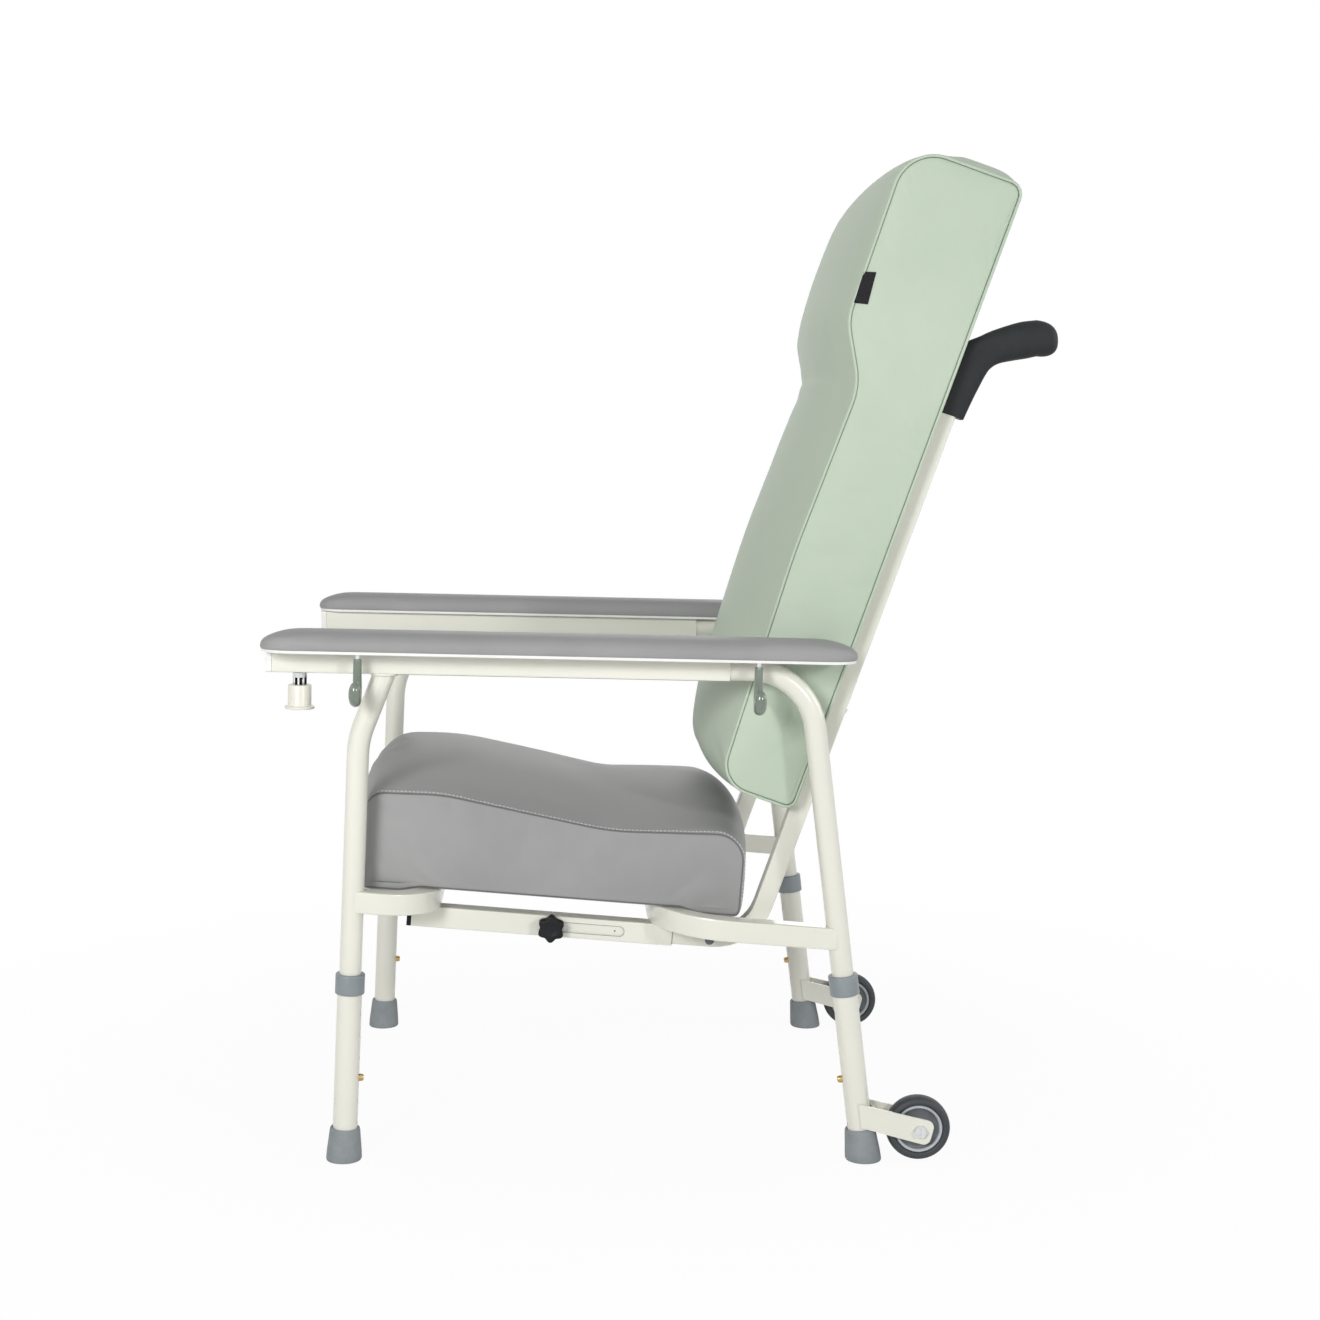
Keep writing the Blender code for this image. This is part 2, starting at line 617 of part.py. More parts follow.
def wheel(side_name, side):
    axle = Vector((REAR_FOOT.x + WHEEL_BEHIND, WHEEL_CLEARANCE + WHEEL_RADIUS))
    x = side * SIDE_X
    inner = LOWER_TUBE / 2 + FIT
    outer = inner + BRACKET_PLATE
    root_low = REAR_FOOT + REAR_UP * (FOOT_HEIGHT + BRACKET_LIFT)
    root_high = root_low + REAR_UP * BRACKET_ROOT
    run = (axle - (root_low + root_high) / 2).normalized()
    across = Vector((-run.y, run.x)) * BRACKET_END_RADIUS
    tip = axle + run * BRACKET_END_RADIUS
    corners = [(*root_low, 0), (*(tip - across), BRACKET_CORNER)]
    corners += [(*(tip + across), BRACKET_CORNER), (*root_high, 0)]
    outline = rounded(corners, True, math.radians(30))

    plates = []
    for hand in (1, -1):
        rings = [[(x + hand * depth, *point) for point in outline] for depth in (inner, outer)]
        plates.append(loft_mesh(f"wheel_bracket_plate_{side_name}_{hand}", rings))
    bracket = add("wheel_bracket_" + side_name, plates[0], IVORY)
    combine(bracket, add_cutter("wheel_bracket_inner_" + side_name, plates[1]), "UNION")
    half_web = inner + BRACKET_PLATE / 2
    front = root_high.x + LOWER_TUBE / 2 + FIT * 2
    low = (x - half_web, front + abs(root_low.x - root_high.x), root_low.y + BRACKET_WEB / 2)
    high = (x + half_web, low[1] + BRACKET_WEB, root_high.y - BRACKET_ROOT / 3)
    web = add_cutter("wheel_bracket_web_" + side_name, box_mesh("web", low, high))
    combine(bracket, web, "UNION")
    ends = [((x - 2 * outer, *axle), (x + 2 * outer, *axle))]
    hole = cylinder_mesh("axle_hole_" + side_name, AXLE_RADIUS + PIN_FIT, ends, 12)
    combine(bracket, add_cutter("axle_hole_" + side_name, hole), "DIFFERENCE")

    face = outer + FIT
    flat = math.cos(math.pi / 6)
    shape = [(AXLE_HEAD_RADIUS, flat, -face - AXLE_HEAD), (AXLE_HEAD_RADIUS, flat, -face)]
    shape += [(AXLE_RADIUS, 1, -face), (AXLE_RADIUS, 1, face)]
    shape += [(AXLE_HEAD_RADIUS, flat, face), (AXLE_HEAD_RADIUS, flat, face + AXLE_HEAD)]
    rings = []
    for radius, between, depth in shape:
        ring = []
        for k in range(BOLT_SIDES):
            reach = radius * (between if k % 2 else 1)
            turn = 2 * math.pi * k / BOLT_SIDES
            ring.append((depth * side, reach * math.cos(turn), reach * math.sin(turn)))
        rings.append(ring)
    bolt = add("axle_bolt_" + side_name, loft_mesh("axle_bolt_" + side_name, rings), STEEL)
    bolt.location = (x, *axle)

    half = WHEEL_WIDTH / 2
    tread = [(HUB_RADIUS + FIT, half - TYRE_BEAD), (HUB_RADIUS + TYRE_BEAD + FIT, half)]
    tread += [(WHEEL_RADIUS - TYRE_SHOULDER, half), (WHEEL_RADIUS, half - TYRE_CHAMFER)]
    tread += [(radius, -depth) for radius, depth in reversed(tread)]
    tyre = turned("tyre_" + side_name, tread, TYRE_BLACK, closed=True, steps=WHEEL_STEPS)
    rim = HUB_WIDTH / 2
    core = AXLE_RADIUS + PIN_FIT
    body = [(core, rim), (core + HUB_BOSS, rim), (core + HUB_BOSS + HUB_SLOPE, rim - HUB_RECESS)]
    body += [(HUB_RADIUS - HUB_RIM - HUB_SLOPE, rim - HUB_RECESS), (HUB_RADIUS - HUB_RIM, rim)]
    body += [(HUB_RADIUS, rim)]
    body += [(radius, -depth) for radius, depth in reversed(body)]
    hub = turned("hub_" + side_name, body, HUB_GREY, closed=True, steps=WHEEL_STEPS)
    for piece in (tyre, hub):
        piece.location = (x, *axle)
        piece.rotation_euler = (0, math.pi / 2, 0)


# Cross tubes, sleeves and seat


def cross_frame(name, leg_foot, leg_up, cross_at, bend, section):
    middle = SEAT_START - SEAT_UP * (CROSS_TUBE / 2)
    leg_at = (meet(leg_foot, leg_up, middle, SEAT_ALONG) - middle).dot(SEAT_ALONG)
    leg_at += math.copysign(LEG_TUBE / 8, cross_at - leg_at)
    corners = [(SIDE_X, leg_at, 0), (SIDE_X, cross_at, bend), (-SIDE_X, cross_at, bend), (-SIDE_X, leg_at, 0)]
    path = rounded(corners, False, math.radians(12))
    tube = add(name, curve_mesh(name, path, section=section), IVORY, SEAT_SPACE)
    tube.location = (0, 0, -CROSS_TUBE / 2)
    for side_name, side in SIDES.items():
        combine(tube, leg_cutter(f"{name}_cope_{side_name}", side, leg_foot, leg_up), "DIFFERENCE")


def square_run(name, outer, start, end):
    """A straight square tube along Y, as a mesh with rounded corners."""
    section = square_section(name + "_section", outer)
    return curve_mesh(name, [(0, start, 0), (0, end, 0)], section=section)


def sleeve(side_name, side):
    x = side * BACK_TUBE_X
    middle = (x, 0, -SLEEVE_DROP)
    name = "slide_sleeve_" + side_name
    tube = add(name, square_run(name, SLEEVE, SLEEVE_FRONT_AT, SLEEVE_REAR_AT), IVORY, SEAT_SPACE)
    tube.location = middle
    inside = BACK_TUBE + 2 * SLIDE_FIT
    bore_name = "sleeve_bore_" + side_name
    past = SLEEVE
    bore = add_cutter(
        bore_name, square_run(bore_name, inside, SLEEVE_FRONT_AT - past, SLEEVE_REAR_AT + past), SEAT_SPACE
    )
    bore.location = middle
    combine(tube, bore, "DIFFERENCE")
    half = SLOT_HEIGHT / 2
    first = KNOB_AT - half
    last = KNOB_AT + SLIDE_TRAVEL + half
    corner = half - SLOT_FLAT
    slot = [(first, -half, corner), (last, -half, corner), (last, half, corner), (first, half, corner)]
    outline = rounded(slot, True, math.radians(30))
    rings = [[(depth * side, *point) for point in outline] for depth in (inside / 4, SLEEVE)]
    cut = add_cutter("sleeve_slot_" + side_name, loft_mesh("sleeve_slot_" + side_name, rings), SEAT_SPACE)
    cut.location = middle
    combine(tube, cut, "DIFFERENCE")

    cap_name = "sleeve_cap_" + side_name
    face = square_run(cap_name, SLEEVE, SLEEVE_FRONT_AT - FIT - CAP_PLATE, SLEEVE_FRONT_AT - FIT)
    cap = add(cap_name, face, BLACK_PLASTIC, SEAT_SPACE)
    cap.location = middle
    plug_name = "sleeve_plug_" + side_name
    reach = SLEEVE_FRONT_AT + CAP_PLUG
    plug = add_cutter(
        plug_name, square_run(plug_name, inside - 2 * FIT, SLEEVE_FRONT_AT - CAP_PLATE / 2, reach), SEAT_SPACE
    )
    plug.location = middle
    combine(cap, plug, "UNION")


def cushion(name, outline, half, swell, roll, finish, parent):
    """A sewn cushion from its side outline: crowned across, rounded and drawn in at its sides.

    The outline holds (y, z) points. The swell gives the crown at a point from its normal, and the
    roll how far a point of the soft rim stands out.
    """
    normals = outward(outline)
    stations = [(half - RIM * back, RIM * inset, 0, 1) for back, inset in RIM_STEPS]
    stations += [(half - RIM * RIM_END, 0, 0, 0)]
    stations += [(half * share, 0, 1 - share**2, 0) for share in CROWN_STEPS]
    stations = [(-x, *rest) for x, *rest in stations] + [(0, 0, 1, 0)] + stations[::-1]
    rings = []
    for x, inset, crown, rim in stations:
        ring = []
        for point, normal in zip(outline, normals):
            moved = point + normal * (crown * swell(point, normal) + rim * roll(normal) - inset)
            ring.append((x, moved.x, moved.y))
        rings.append(ring)
    return add(name, loft_mesh(name, rings), finish, parent)


def level(stops, at):
    """The value at a place between stops of (place, value)."""
    for (first, low), (last, high) in zip(stops, stops[1:]):
        if at <= last:
            return low + (high - low) * max(0.0, at - first) / (last - first)
    return stops[-1][1]


def seat():
    front, rear = SEAT_FRONT_AT, SEAT_REAR_AT
    corners = [(front, 0, SEAT_FOOT_RADIUS), (front, SEAT_FRONT_HEIGHT, SEAT_EDGE_RADIUS)]
    corners += [(SEAT_HUMP_AT, SEAT_HUMP_HEIGHT, SEAT_HUMP_BEND)]
    corners += [(SEAT_DIP_AT, SEAT_DIP_HEIGHT, SEAT_DIP_BEND)]
    corners += [(rear, SEAT_REAR_HEIGHT, SEAT_REAR_RADIUS), (rear, 0, SEAT_FOOT_RADIUS)]
    outline = [point + Vector((0, FIT)) for point in rounded(corners, True, math.radians(16))]

    def swell(_, normal):
        return SEAT_CROWN * (max(0.0, normal.y) + SEAT_END_CROWN * abs(normal.x))

    soft = cushion("seat_cushion", outline, SEAT_HALF, swell, lambda _: 0, GREY_VINYL, SEAT_SPACE)
    side = SEAT_HALF - BOARD_INSET
    low = (-side, front + BOARD_INSET, FIT)
    high = (side, rear - BOARD_INSET, FIT + BOARD)
    add("seat_board", box_mesh("seat_board", low, high), PLYWOOD, SEAT_SPACE)
    gap = Vector((FIT, FIT, FIT))
    pocket = box_mesh("seat_pocket", Vector(low) - gap - Vector((0, 0, BOARD)), Vector(high) + gap)
    combine(soft, add_cutter("seat_pocket", pocket, SEAT_SPACE), "DIFFERENCE")


# Back


def back_line():
    """The back tube's centre line in the side view: sleeve run, upright and handle."""
    sleeve_axis = SEAT_START - SEAT_UP * SLEEVE_DROP
    upright = BACK_FOOT + BACK_REARWARD * TUBE_BEHIND
    low = meet(sleeve_axis, SEAT_ALONG, upright, BACK_UP)
    high = upright + BACK_UP * HANDLE_AT
    tip = high + leaning(math.pi / 2 - HANDLE_RISE) * HANDLE_LENGTH
    start = sleeve_axis + SEAT_ALONG * TUBE_FRONT_AT
    return start, low, high, tip


def back_tube(side_name, side, section):
    start, low, high, tip = back_line()
    end = tip - (tip - high).normalized() * GRIP_END
    corners = [(*start, 0), (*low, BACK_BEND_RADIUS), (*high, HANDLE_BEND_RADIUS), (*end, 0)]
    name = "back_tube_" + side_name
    path = rounded(corners, False, math.radians(10))
    tube = add(name, curve_mesh(name, path, section=section), IVORY)
    in_side_view(tube, side * BACK_TUBE_X)
    ends = [((0, KNOB_AT, 0), (side * BACK_TUBE, KNOB_AT, 0))]
    hole = cylinder_mesh("knob_hole_" + side_name, KNOB_BOLT_RADIUS + PIN_FIT, ends, 12)
    cut = add_cutter("knob_hole_" + side_name, hole, SEAT_SPACE)
    cut.location = (side * BACK_TUBE_X, 0, -SLEEVE_DROP)
    combine(tube, cut, "DIFFERENCE")


def grip(side_name, side, section):
    """A moulded grip that grows from the upright's size into a fat oval handle."""
    _, _, high, tip = back_line()
    start = BACK_FOOT + BACK_REARWARD * TUBE_BEHIND + BACK_UP * GRIP_FROM
    corners = [(*start, 0), (*high, HANDLE_BEND_RADIUS), (*tip, 0)]
    path = rounded(corners, False, math.radians(10))
    bore = BACK_TUBE / 2 + FIT
    lengths = [0.0]
    for a, b in zip(path, path[1:]):
        lengths.append(lengths[-1] + (b - a).length)
    bend_start, bend_end = lengths[1], lengths[-2]
    handle = (tip - path[-2]).normalized()
    path = path[:-1] + [tip - handle * step for step in GRIP_STEPS] + [tip]
    shrink = [1.0] * (len(path) - len(GRIP_NOSE)) + list(GRIP_NOSE)
    rings = []
    for i, point in enumerate(path):
        along = (path[min(i + 1, len(path) - 1)] - path[max(i - 1, 0)]).normalized()
        over = Vector((-along.y, along.x))
        run = lengths[i] if i < len(lengths) - 1 else bend_end
        share = min(1.0, max(0.0, (run - bend_start) / (bend_end - bend_start)))
        blend = share * share * (3 - 2 * share)
        front = bore + GRIP_WALL + (GRIP_HALF_HEIGHT - bore - GRIP_WALL) * blend
        rear = bore + GRIP_REAR_WALL + (GRIP_HALF_HEIGHT - bore - GRIP_REAR_WALL) * blend
        width = bore + GRIP_WALL + (GRIP_HALF_WIDTH - bore - GRIP_WALL) * blend
        power = GRIP_SQUARE + (GRIP_OVAL - GRIP_SQUARE) * blend
        ring = []
        for k in range(GRIP_SIDES):
            turn = 2 * math.pi * (k + 0.5) / GRIP_SIDES
            c, s = math.cos(turn), math.sin(turn)
            scale = shrink[i] / (abs(c) ** power + abs(s) ** power) ** (1 / power)
            across = point + over * (scale * s * (front if s > 0 else rear))
            ring.append((side * BACK_TUBE_X + scale * c * width, *across))
        rings.append(ring)
    name = "back_grip_" + side_name
    made = add(name, loft_mesh(name, rings), BLACK_PLASTIC)
    end = tip - handle * (GRIP_END - FIT)
    below = start - BACK_UP * BACK_TUBE
    corners = [(*below, 0), (*high, HANDLE_BEND_RADIUS), (*end, 0)]
    hollow = curve_mesh(name + "_bore", rounded(corners, False, math.radians(10)), section=section)
    cut = add_cutter(name + "_bore", hollow)
    in_side_view(cut, side * BACK_TUBE_X)
    combine(made, cut, "DIFFERENCE")


def back():
    corners = [(0, BACK_FROM, BACK_REAR_RADIUS), (-BACK_THICKNESS, BACK_FROM, BACK_FOOT_RADIUS)]
    corners += [(-NECK_THICKNESS, NECK_AT, NECK_BEND), (-HEAD_THICKNESS, HEAD_AT, HEAD_BEND)]
    corners += [(-HEAD_THICKNESS, BACK_TOP, HEAD_TOP_RADIUS), (0, BACK_TOP, BACK_REAR_RADIUS)]
    outline = rounded(corners, True, math.radians(15))

    tables = [(BACK_FROM, CROWN_FROM_FOOT), (NECK_AT, CROWN_FROM_NECK)]
    tables += [(HEAD_AT, CROWN_FROM_HEAD), (BACK_TOP, CROWN_FROM_TOP)]
    stops = [(start + rise, share) for start, table in tables for rise, share in table]

    def swell(point, normal):
        return BACK_CROWN * (max(0.0, -normal.x) * level(stops, point.y) + BACK_END_CROWN * abs(normal.y))

    def roll(normal):
        return BACK_ROLL * max(0.0, normal.x)

    soft = cushion("back_cushion", outline, BACK_HALF, swell, roll, SAGE_VINYL, BACK_SPACE)
    side = BACK_HALF - BOARD_INSET
    low = (-side, -BOARD, BACK_FROM + BOARD_INSET)
    high = (side, 0, BACK_TOP - BOARD_INSET)
    board = add("back_board", box_mesh("back_board", low, high), PLYWOOD, BACK_SPACE)
    ends = []
    for height in SPACER_PLACES:
        for side_x in (BACK_TUBE_X, -BACK_TUBE_X):
            ends.append(((side_x, -BOARD / 2, height), (side_x, SPACER, height)))
    spacers = add_cutter("back_spacers", cylinder_mesh("back_spacers", SPACER_RADIUS, ends, 16), BACK_SPACE)
    combine(board, spacers, "UNION")
    gap = Vector((FIT, FIT, FIT))
    pocket = box_mesh("back_pocket", Vector(low) - gap, Vector(high) + gap + Vector((0, BOARD, 0)))
    combine(soft, add_cutter("back_pocket", pocket, BACK_SPACE), "DIFFERENCE")


def star_knob(side_name, side):
    """A lobed clamp knob; its bolt runs through the sleeve's slot into the back tube."""
    face = SLEEVE / 2 + FIT
    deep = BACK_TUBE / 2 - KNOB_BOLT_REACH
    steps = KNOB_LOBES * 4
    base = face + KNOB_BOSS
    profile = [(deep, KNOB_BOLT_RADIUS, 0), (face, KNOB_BOLT_RADIUS, 0), (face, KNOB_BOSS_RADIUS, 0)]
    profile += [(base, KNOB_BOSS_RADIUS, 0), (base, KNOB_RADIUS - KNOB_LOBE, KNOB_LOBE)]
    profile += [(base + KNOB_LOBE, KNOB_RADIUS, KNOB_LOBE)]
    profile += [(base + KNOB_THICKNESS - KNOB_LOBE, KNOB_RADIUS, KNOB_LOBE)]
    profile += [(base + KNOB_THICKNESS, KNOB_RADIUS - 1.5 * KNOB_LOBE, KNOB_LOBE)]
    rings = []
    for depth, radius, lobe in profile:
        ring = []
        for k in range(steps):
            turn = 2 * math.pi * k / steps
            reach = radius + lobe * math.cos(KNOB_LOBES * turn)
            ring.append((side * depth, reach * math.cos(turn), reach * math.sin(turn)))
        rings.append(ring)
    name = "star_knob_" + side_name
    knob = add(name, loft_mesh(name, rings), BLACK_PLASTIC, SEAT_SPACE)
    knob.location = (side * BACK_TUBE_X, KNOB_AT, -SLEEVE_DROP)


# Arms


def arm(side_name, side):
    space = set_out("arm_space_" + side_name, (side * SIDE_X, *RAIL_FRONT), -ARM_SLOPE)
    middle = RAIL / 2
    name = "arm_rail_" + side_name
    first = BUSH_FLANGE + FIT
    rail = add(name, square_run(name, RAIL, first, RAIL_LENGTH), IVORY, space)
    rail.location = (0, 0, middle)
    inside = RAIL - 2 * RAIL_WALL
    bore_name = "rail_bore_" + side_name
    bore = add_cutter(bore_name, square_run(bore_name, inside, -RAIL, RAIL_LENGTH + RAIL), space)
    bore.location = (0, 0, middle)
    combine(rail, bore, "DIFFERENCE")
    ends = [((0, PLUNGER_AT, -RAIL / 4), (0, PLUNGER_AT, RAIL / 4))]
    hole = cylinder_mesh("plunger_hole_" + side_name, PLUNGER_PIN_RADIUS + PIN_FIT, ends, 12)
    combine(rail, add_cutter("plunger_hole_" + side_name, hole, space), "DIFFERENCE")

    bush_name = "rail_bush_" + side_name
    bush = add(bush_name, square_run(bush_name, RAIL, 0, BUSH_FLANGE), WHITE_PLASTIC, space)
    bush.location = (0, 0, middle)
    spigot_name = "bush_spigot_" + side_name
    spigot_size = inside - 2 * FIT
    spigot_end = BUSH_FLANGE + BUSH_SPIGOT
    spigot = add_cutter(spigot_name, square_run(spigot_name, spigot_size, BUSH_FLANGE / 2, spigot_end), space)
    spigot.location = (0, 0, middle)
    combine(bush, spigot, "UNION")
    mouth_name = "bush_mouth_" + side_name
    mouth_size = spigot_size - 2 * BUSH_WALL
    mouth = add_cutter(mouth_name, square_run(mouth_name, mouth_size, -RAIL, spigot_end + RAIL), space)
    mouth.location = (0, 0, middle)
    combine(bush, mouth, "DIFFERENCE")

    sideways = side * (PAD_MIDDLE - SIDE_X)
    front, rear = -PAD_OVERHANG, PAD_LENGTH - PAD_OVERHANG
    half = PAD_WIDTH / 2
    corners = [(sideways - half, front, PAD_END_RADIUS), (sideways + half, front, PAD_END_RADIUS)]
    corners += [(sideways + half, y, 0) for y in (front + PAD_TAPER, rear - PAD_TAPER)]
    corners += [(sideways + half, rear, PAD_END_RADIUS), (sideways - half, rear, PAD_END_RADIUS)]
    corners += [(sideways - half, y, 0) for y in (rear - PAD_TAPER, front + PAD_TAPER)]
    plan = rounded(corners, True, math.radians(15))
    normals = outward(plan)

    def ring(inset, base, rise=0):
        points = []
        for point, normal in zip(plan, normals):
            x, y = point - normal * inset
            share = max(0, 1 - min(y - front, rear - y) / PAD_TAPER)
            points.append((x, y, base + rise * (1 - PAD_TAPER_DROP * share**2)))
        return points

    board_low = RAIL + FIT
    board_high = board_low + ARM_BOARD
    board_name = "arm_board_" + side_name
    board_rings = [ring(ARM_BOARD_INSET, board_low), ring(ARM_BOARD_INSET, board_high)]
    add(board_name, loft_mesh(board_name, board_rings), WHITE_PLASTIC, space)
    low = board_high + FIT
    wall = PAD_HEIGHT - PAD_CROWN
    rings = [ring(PAD_HEM, low), ring(0, low, wall / 4), ring(PAD_BULGE, low, wall * 3 / 4)]
    for share in PAD_CROWN_STEPS:
        spread = half * PAD_CROWN_SPREAD * (1 - math.sqrt(1 - share**2))
        rings.append(ring(PAD_SHOULDER + spread, low, wall + PAD_CROWN * share))
    pad_name = "arm_pad_" + side_name
    add(pad_name, loft_mesh(pad_name, rings), GREY_VINYL, space)

    for place, at in HOOK_PLACES.items():
        hook(f"{place}_{side_name}", side, sideways + side * (half - HOOK_INSET), at, board_low, space)
    plunger(side_name, space)
    rail_box = square_run("rail_cope_" + side_name, RAIL + 2 * FIT, 0, RAIL_LENGTH)
    cutter = add_cutter("rail_cope_" + side_name, rail_box, space)
    cutter.location = (0, 0, middle)
    return cutter


def hook(name, side, x, at, under, space):
    """A plastic J hook on a steel pin below the arm board; it swivels about the pin."""
    pin = HOOK_PIN_RADIUS / HOOK_STEM_RADIUS
    bulb = HOOK_BULB_RADIUS / HOOK_STEM_RADIUS
    line = [(0, FIT, pin), (0, HOOK_PIN_LENGTH, pin), (0, HOOK_PIN_LENGTH + FIT, 1)]
    line += [(HOOK_REACH * out, HOOK_DROP * down, size) for out, down, size in HOOK_BEND]
    line += [(HOOK_REACH * HOOK_TIP_REACH, HOOK_DROP, bulb)]
    line += [(HOOK_REACH, HOOK_DROP - HOOK_TIP / 2, bulb * HOOK_TIP_TAPER[0])]
    line += [(HOOK_REACH, HOOK_DROP - HOOK_TIP, bulb * HOOK_TIP_TAPER[1])]
    path = [(side * out, 0, -down) for out, down, _ in line]
    sizes = [size for _, _, size in line]
    mesh = curve_mesh("hook_" + name, path, HOOK_STEM_RADIUS, sizes=sizes, resolution=4)
    made = add("hook_" + name, mesh, HOOK_GREY, space)
    made.location = (x, at, under)


def plunger(side_name, space):
    """The tray lock: a fixed housing below the rail and a spring-loaded knob with its pin."""
    bore = PLUNGER_PIN_RADIUS + PIN_FIT
    collar = HOUSING_COLLAR_HEIGHT + FIT
    bottom = HOUSING_HEIGHT + FIT
    ring = [(bore, -FIT), (HOUSING_COLLAR_RADIUS, -FIT), (HOUSING_COLLAR_RADIUS, -collar)]
    ring += [(HOUSING_RADIUS, -collar), (HOUSING_RADIUS, -bottom), (bore, -bottom)]
    housing = turned("plunger_housing_" + side_name, ring, STEEL, space, closed=True, steps=16)
    housing.location = (0, PLUNGER_AT, 0)
    top = bottom + FIT
    flange = top + PLUNGER_KNOB_HEIGHT - PLUNGER_FLANGE_HEIGHT
    end = top + PLUNGER_KNOB_HEIGHT
    pin_top = RAIL_WALL + PLUNGER_PIN_RISE
    shape = [(0, pin_top), (PLUNGER_PIN_RADIUS, pin_top), (PLUNGER_PIN_RADIUS, -top)]
    shape += [(PLUNGER_KNOB_RADIUS, -top), (PLUNGER_KNOB_RADIUS, -flange), (PLUNGER_FLANGE_RADIUS, -flange)]
    shape += [(PLUNGER_FLANGE_RADIUS, -end), (0, -end)]
    knob = turned("tray_plunger_" + side_name, shape, CREAM_PLASTIC, space)
    knob.location = (0, PLUNGER_AT, 0)


# Assembly

FLOOR_CUTTER = add_cutter("floor", box_mesh("floor", (-1, -1, -0.1), (1, 1, 0)))
CROSS_SECTION = square_section("cross_section", CROSS_TUBE)
BACK_SECTION = square_section("back_section", BACK_TUBE)
GRIP_BORE_SECTION = square_section("grip_bore_section", BACK_TUBE + 2 * FIT)

cross_frame("front_cross_frame", FRONT_FOOT, FRONT_UP, FRONT_CROSS_AT, FRONT_CROSS_BEND, CROSS_SECTION)
cross_frame("rear_cross_frame", REAR_FOOT, REAR_UP, REAR_CROSS_AT, REAR_CROSS_BEND, CROSS_SECTION)
seat()
back()
for side_name, side in SIDES.items():
    rail_cutter = arm(side_name, side)
    front_space = set_out("front_leg_space_" + side_name, (side * SIDE_X, *FRONT_FOOT), -FRONT_LEAN)
    rear_space = set_out("rear_leg_space_" + side_name, (side * SIDE_X, *REAR_FOOT), REAR_LEAN)
    front_leg_tube(side_name, side, front_space, rail_cutter)
    rear_leg_tube(side_name, side, rear_space)
    for place, space, facing in (("front", front_space, 1), ("rear", rear_space, -1)):
        lower_leg(f"{place}_{side_name}", space, facing)
        snap_button(f"{place}_{side_name}", space, facing)
    wheel(side_name, side)
    sleeve(side_name, side)
    back_tube(side_name, side, BACK_SECTION)
    grip(side_name, side, GRIP_BORE_SECTION)
    star_knob(side_name, side)
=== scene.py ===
import math

import bmesh
import bpy
import numpy as np
from mathutils import Matrix, Vector
from mathutils.bvhtree import BVHTree


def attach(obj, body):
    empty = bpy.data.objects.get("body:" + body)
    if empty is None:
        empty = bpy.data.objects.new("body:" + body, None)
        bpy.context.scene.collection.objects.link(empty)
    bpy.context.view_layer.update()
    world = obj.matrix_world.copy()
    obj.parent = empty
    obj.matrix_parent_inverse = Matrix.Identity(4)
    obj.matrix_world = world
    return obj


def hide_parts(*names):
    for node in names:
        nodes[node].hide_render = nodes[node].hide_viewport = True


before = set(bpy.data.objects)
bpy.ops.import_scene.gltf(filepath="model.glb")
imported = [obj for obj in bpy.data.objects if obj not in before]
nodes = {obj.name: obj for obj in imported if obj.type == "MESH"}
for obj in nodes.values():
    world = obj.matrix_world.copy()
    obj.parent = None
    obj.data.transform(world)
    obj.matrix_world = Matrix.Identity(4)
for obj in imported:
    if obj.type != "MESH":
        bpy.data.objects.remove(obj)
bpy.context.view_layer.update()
print("frame loaded:", len(nodes), "nodes")


# node helpers

def addNode(tree, kind, takes=None, **settings):  # an input takes a value or another node's output
    node = tree.nodes.new("ShaderNode" + kind)
    for label, value in settings.items():
        setattr(node, label, value)
    for label, value in (takes or {}).items():
        if isinstance(value, bpy.types.NodeSocket):
            tree.links.new(value, node.inputs[label])
        else:
            node.inputs[label].default_value = value
    return node


def ranged(tree, value, low, high, toLow=0.0, toHigh=1.0):
    takes = {"Value": value, "From Min": low, "From Max": high, "To Min": toLow, "To Max": toHigh}
    return addNode(tree, "MapRange", takes).outputs["Result"]


def joined(tree, kind, first, second):
    return addNode(tree, "Math", {0: first, 1: second}, operation=kind).outputs[0]


def texture(tree, kind, scale, takes=None, **settings):
    coords = addNode(tree, "TexCoord").outputs["Object"]
    return addNode(tree, "Tex" + kind, {"Vector": coords, "Scale": scale, **(takes or {})}, **settings)


def noise(tree, scale, detail, **more):
    return texture(tree, "Noise", scale, {"Detail": detail, **more}).outputs["Fac"]


def blendColour(tree, factor, first, second):
    colours = [(*colour, 1) if isinstance(colour, tuple) else colour for colour in (first, second)]
    takes = dict(zip((0, 6, 7), (factor, *colours)))  # the colour sockets of a Mix node
    return addNode(tree, "Mix", takes, data_type="RGBA").outputs[2]


def blendShader(tree, factor, first, second):
    return addNode(tree, "MixShader", {0: factor, 1: first, 2: second}).outputs[0]


def seenRay(tree):  # the rays for which the backdrop is plain white
    rays = addNode(tree, "LightPath").outputs
    direct = joined(tree, "MAXIMUM", rays["Is Camera Ray"], rays["Is Glossy Ray"])
    return joined(tree, "MAXIMUM", direct, rays["Is Transmission Ray"])


def startMaterial(name, fixed):
    material = bpy.data.materials.new(name)
    material.use_nodes = True
    shader = material.node_tree.nodes["Principled BSDF"]
    for label, value in fixed.items():
        shader.inputs[label].default_value = value
    return material, material.node_tree, shader


# camera, floor and light

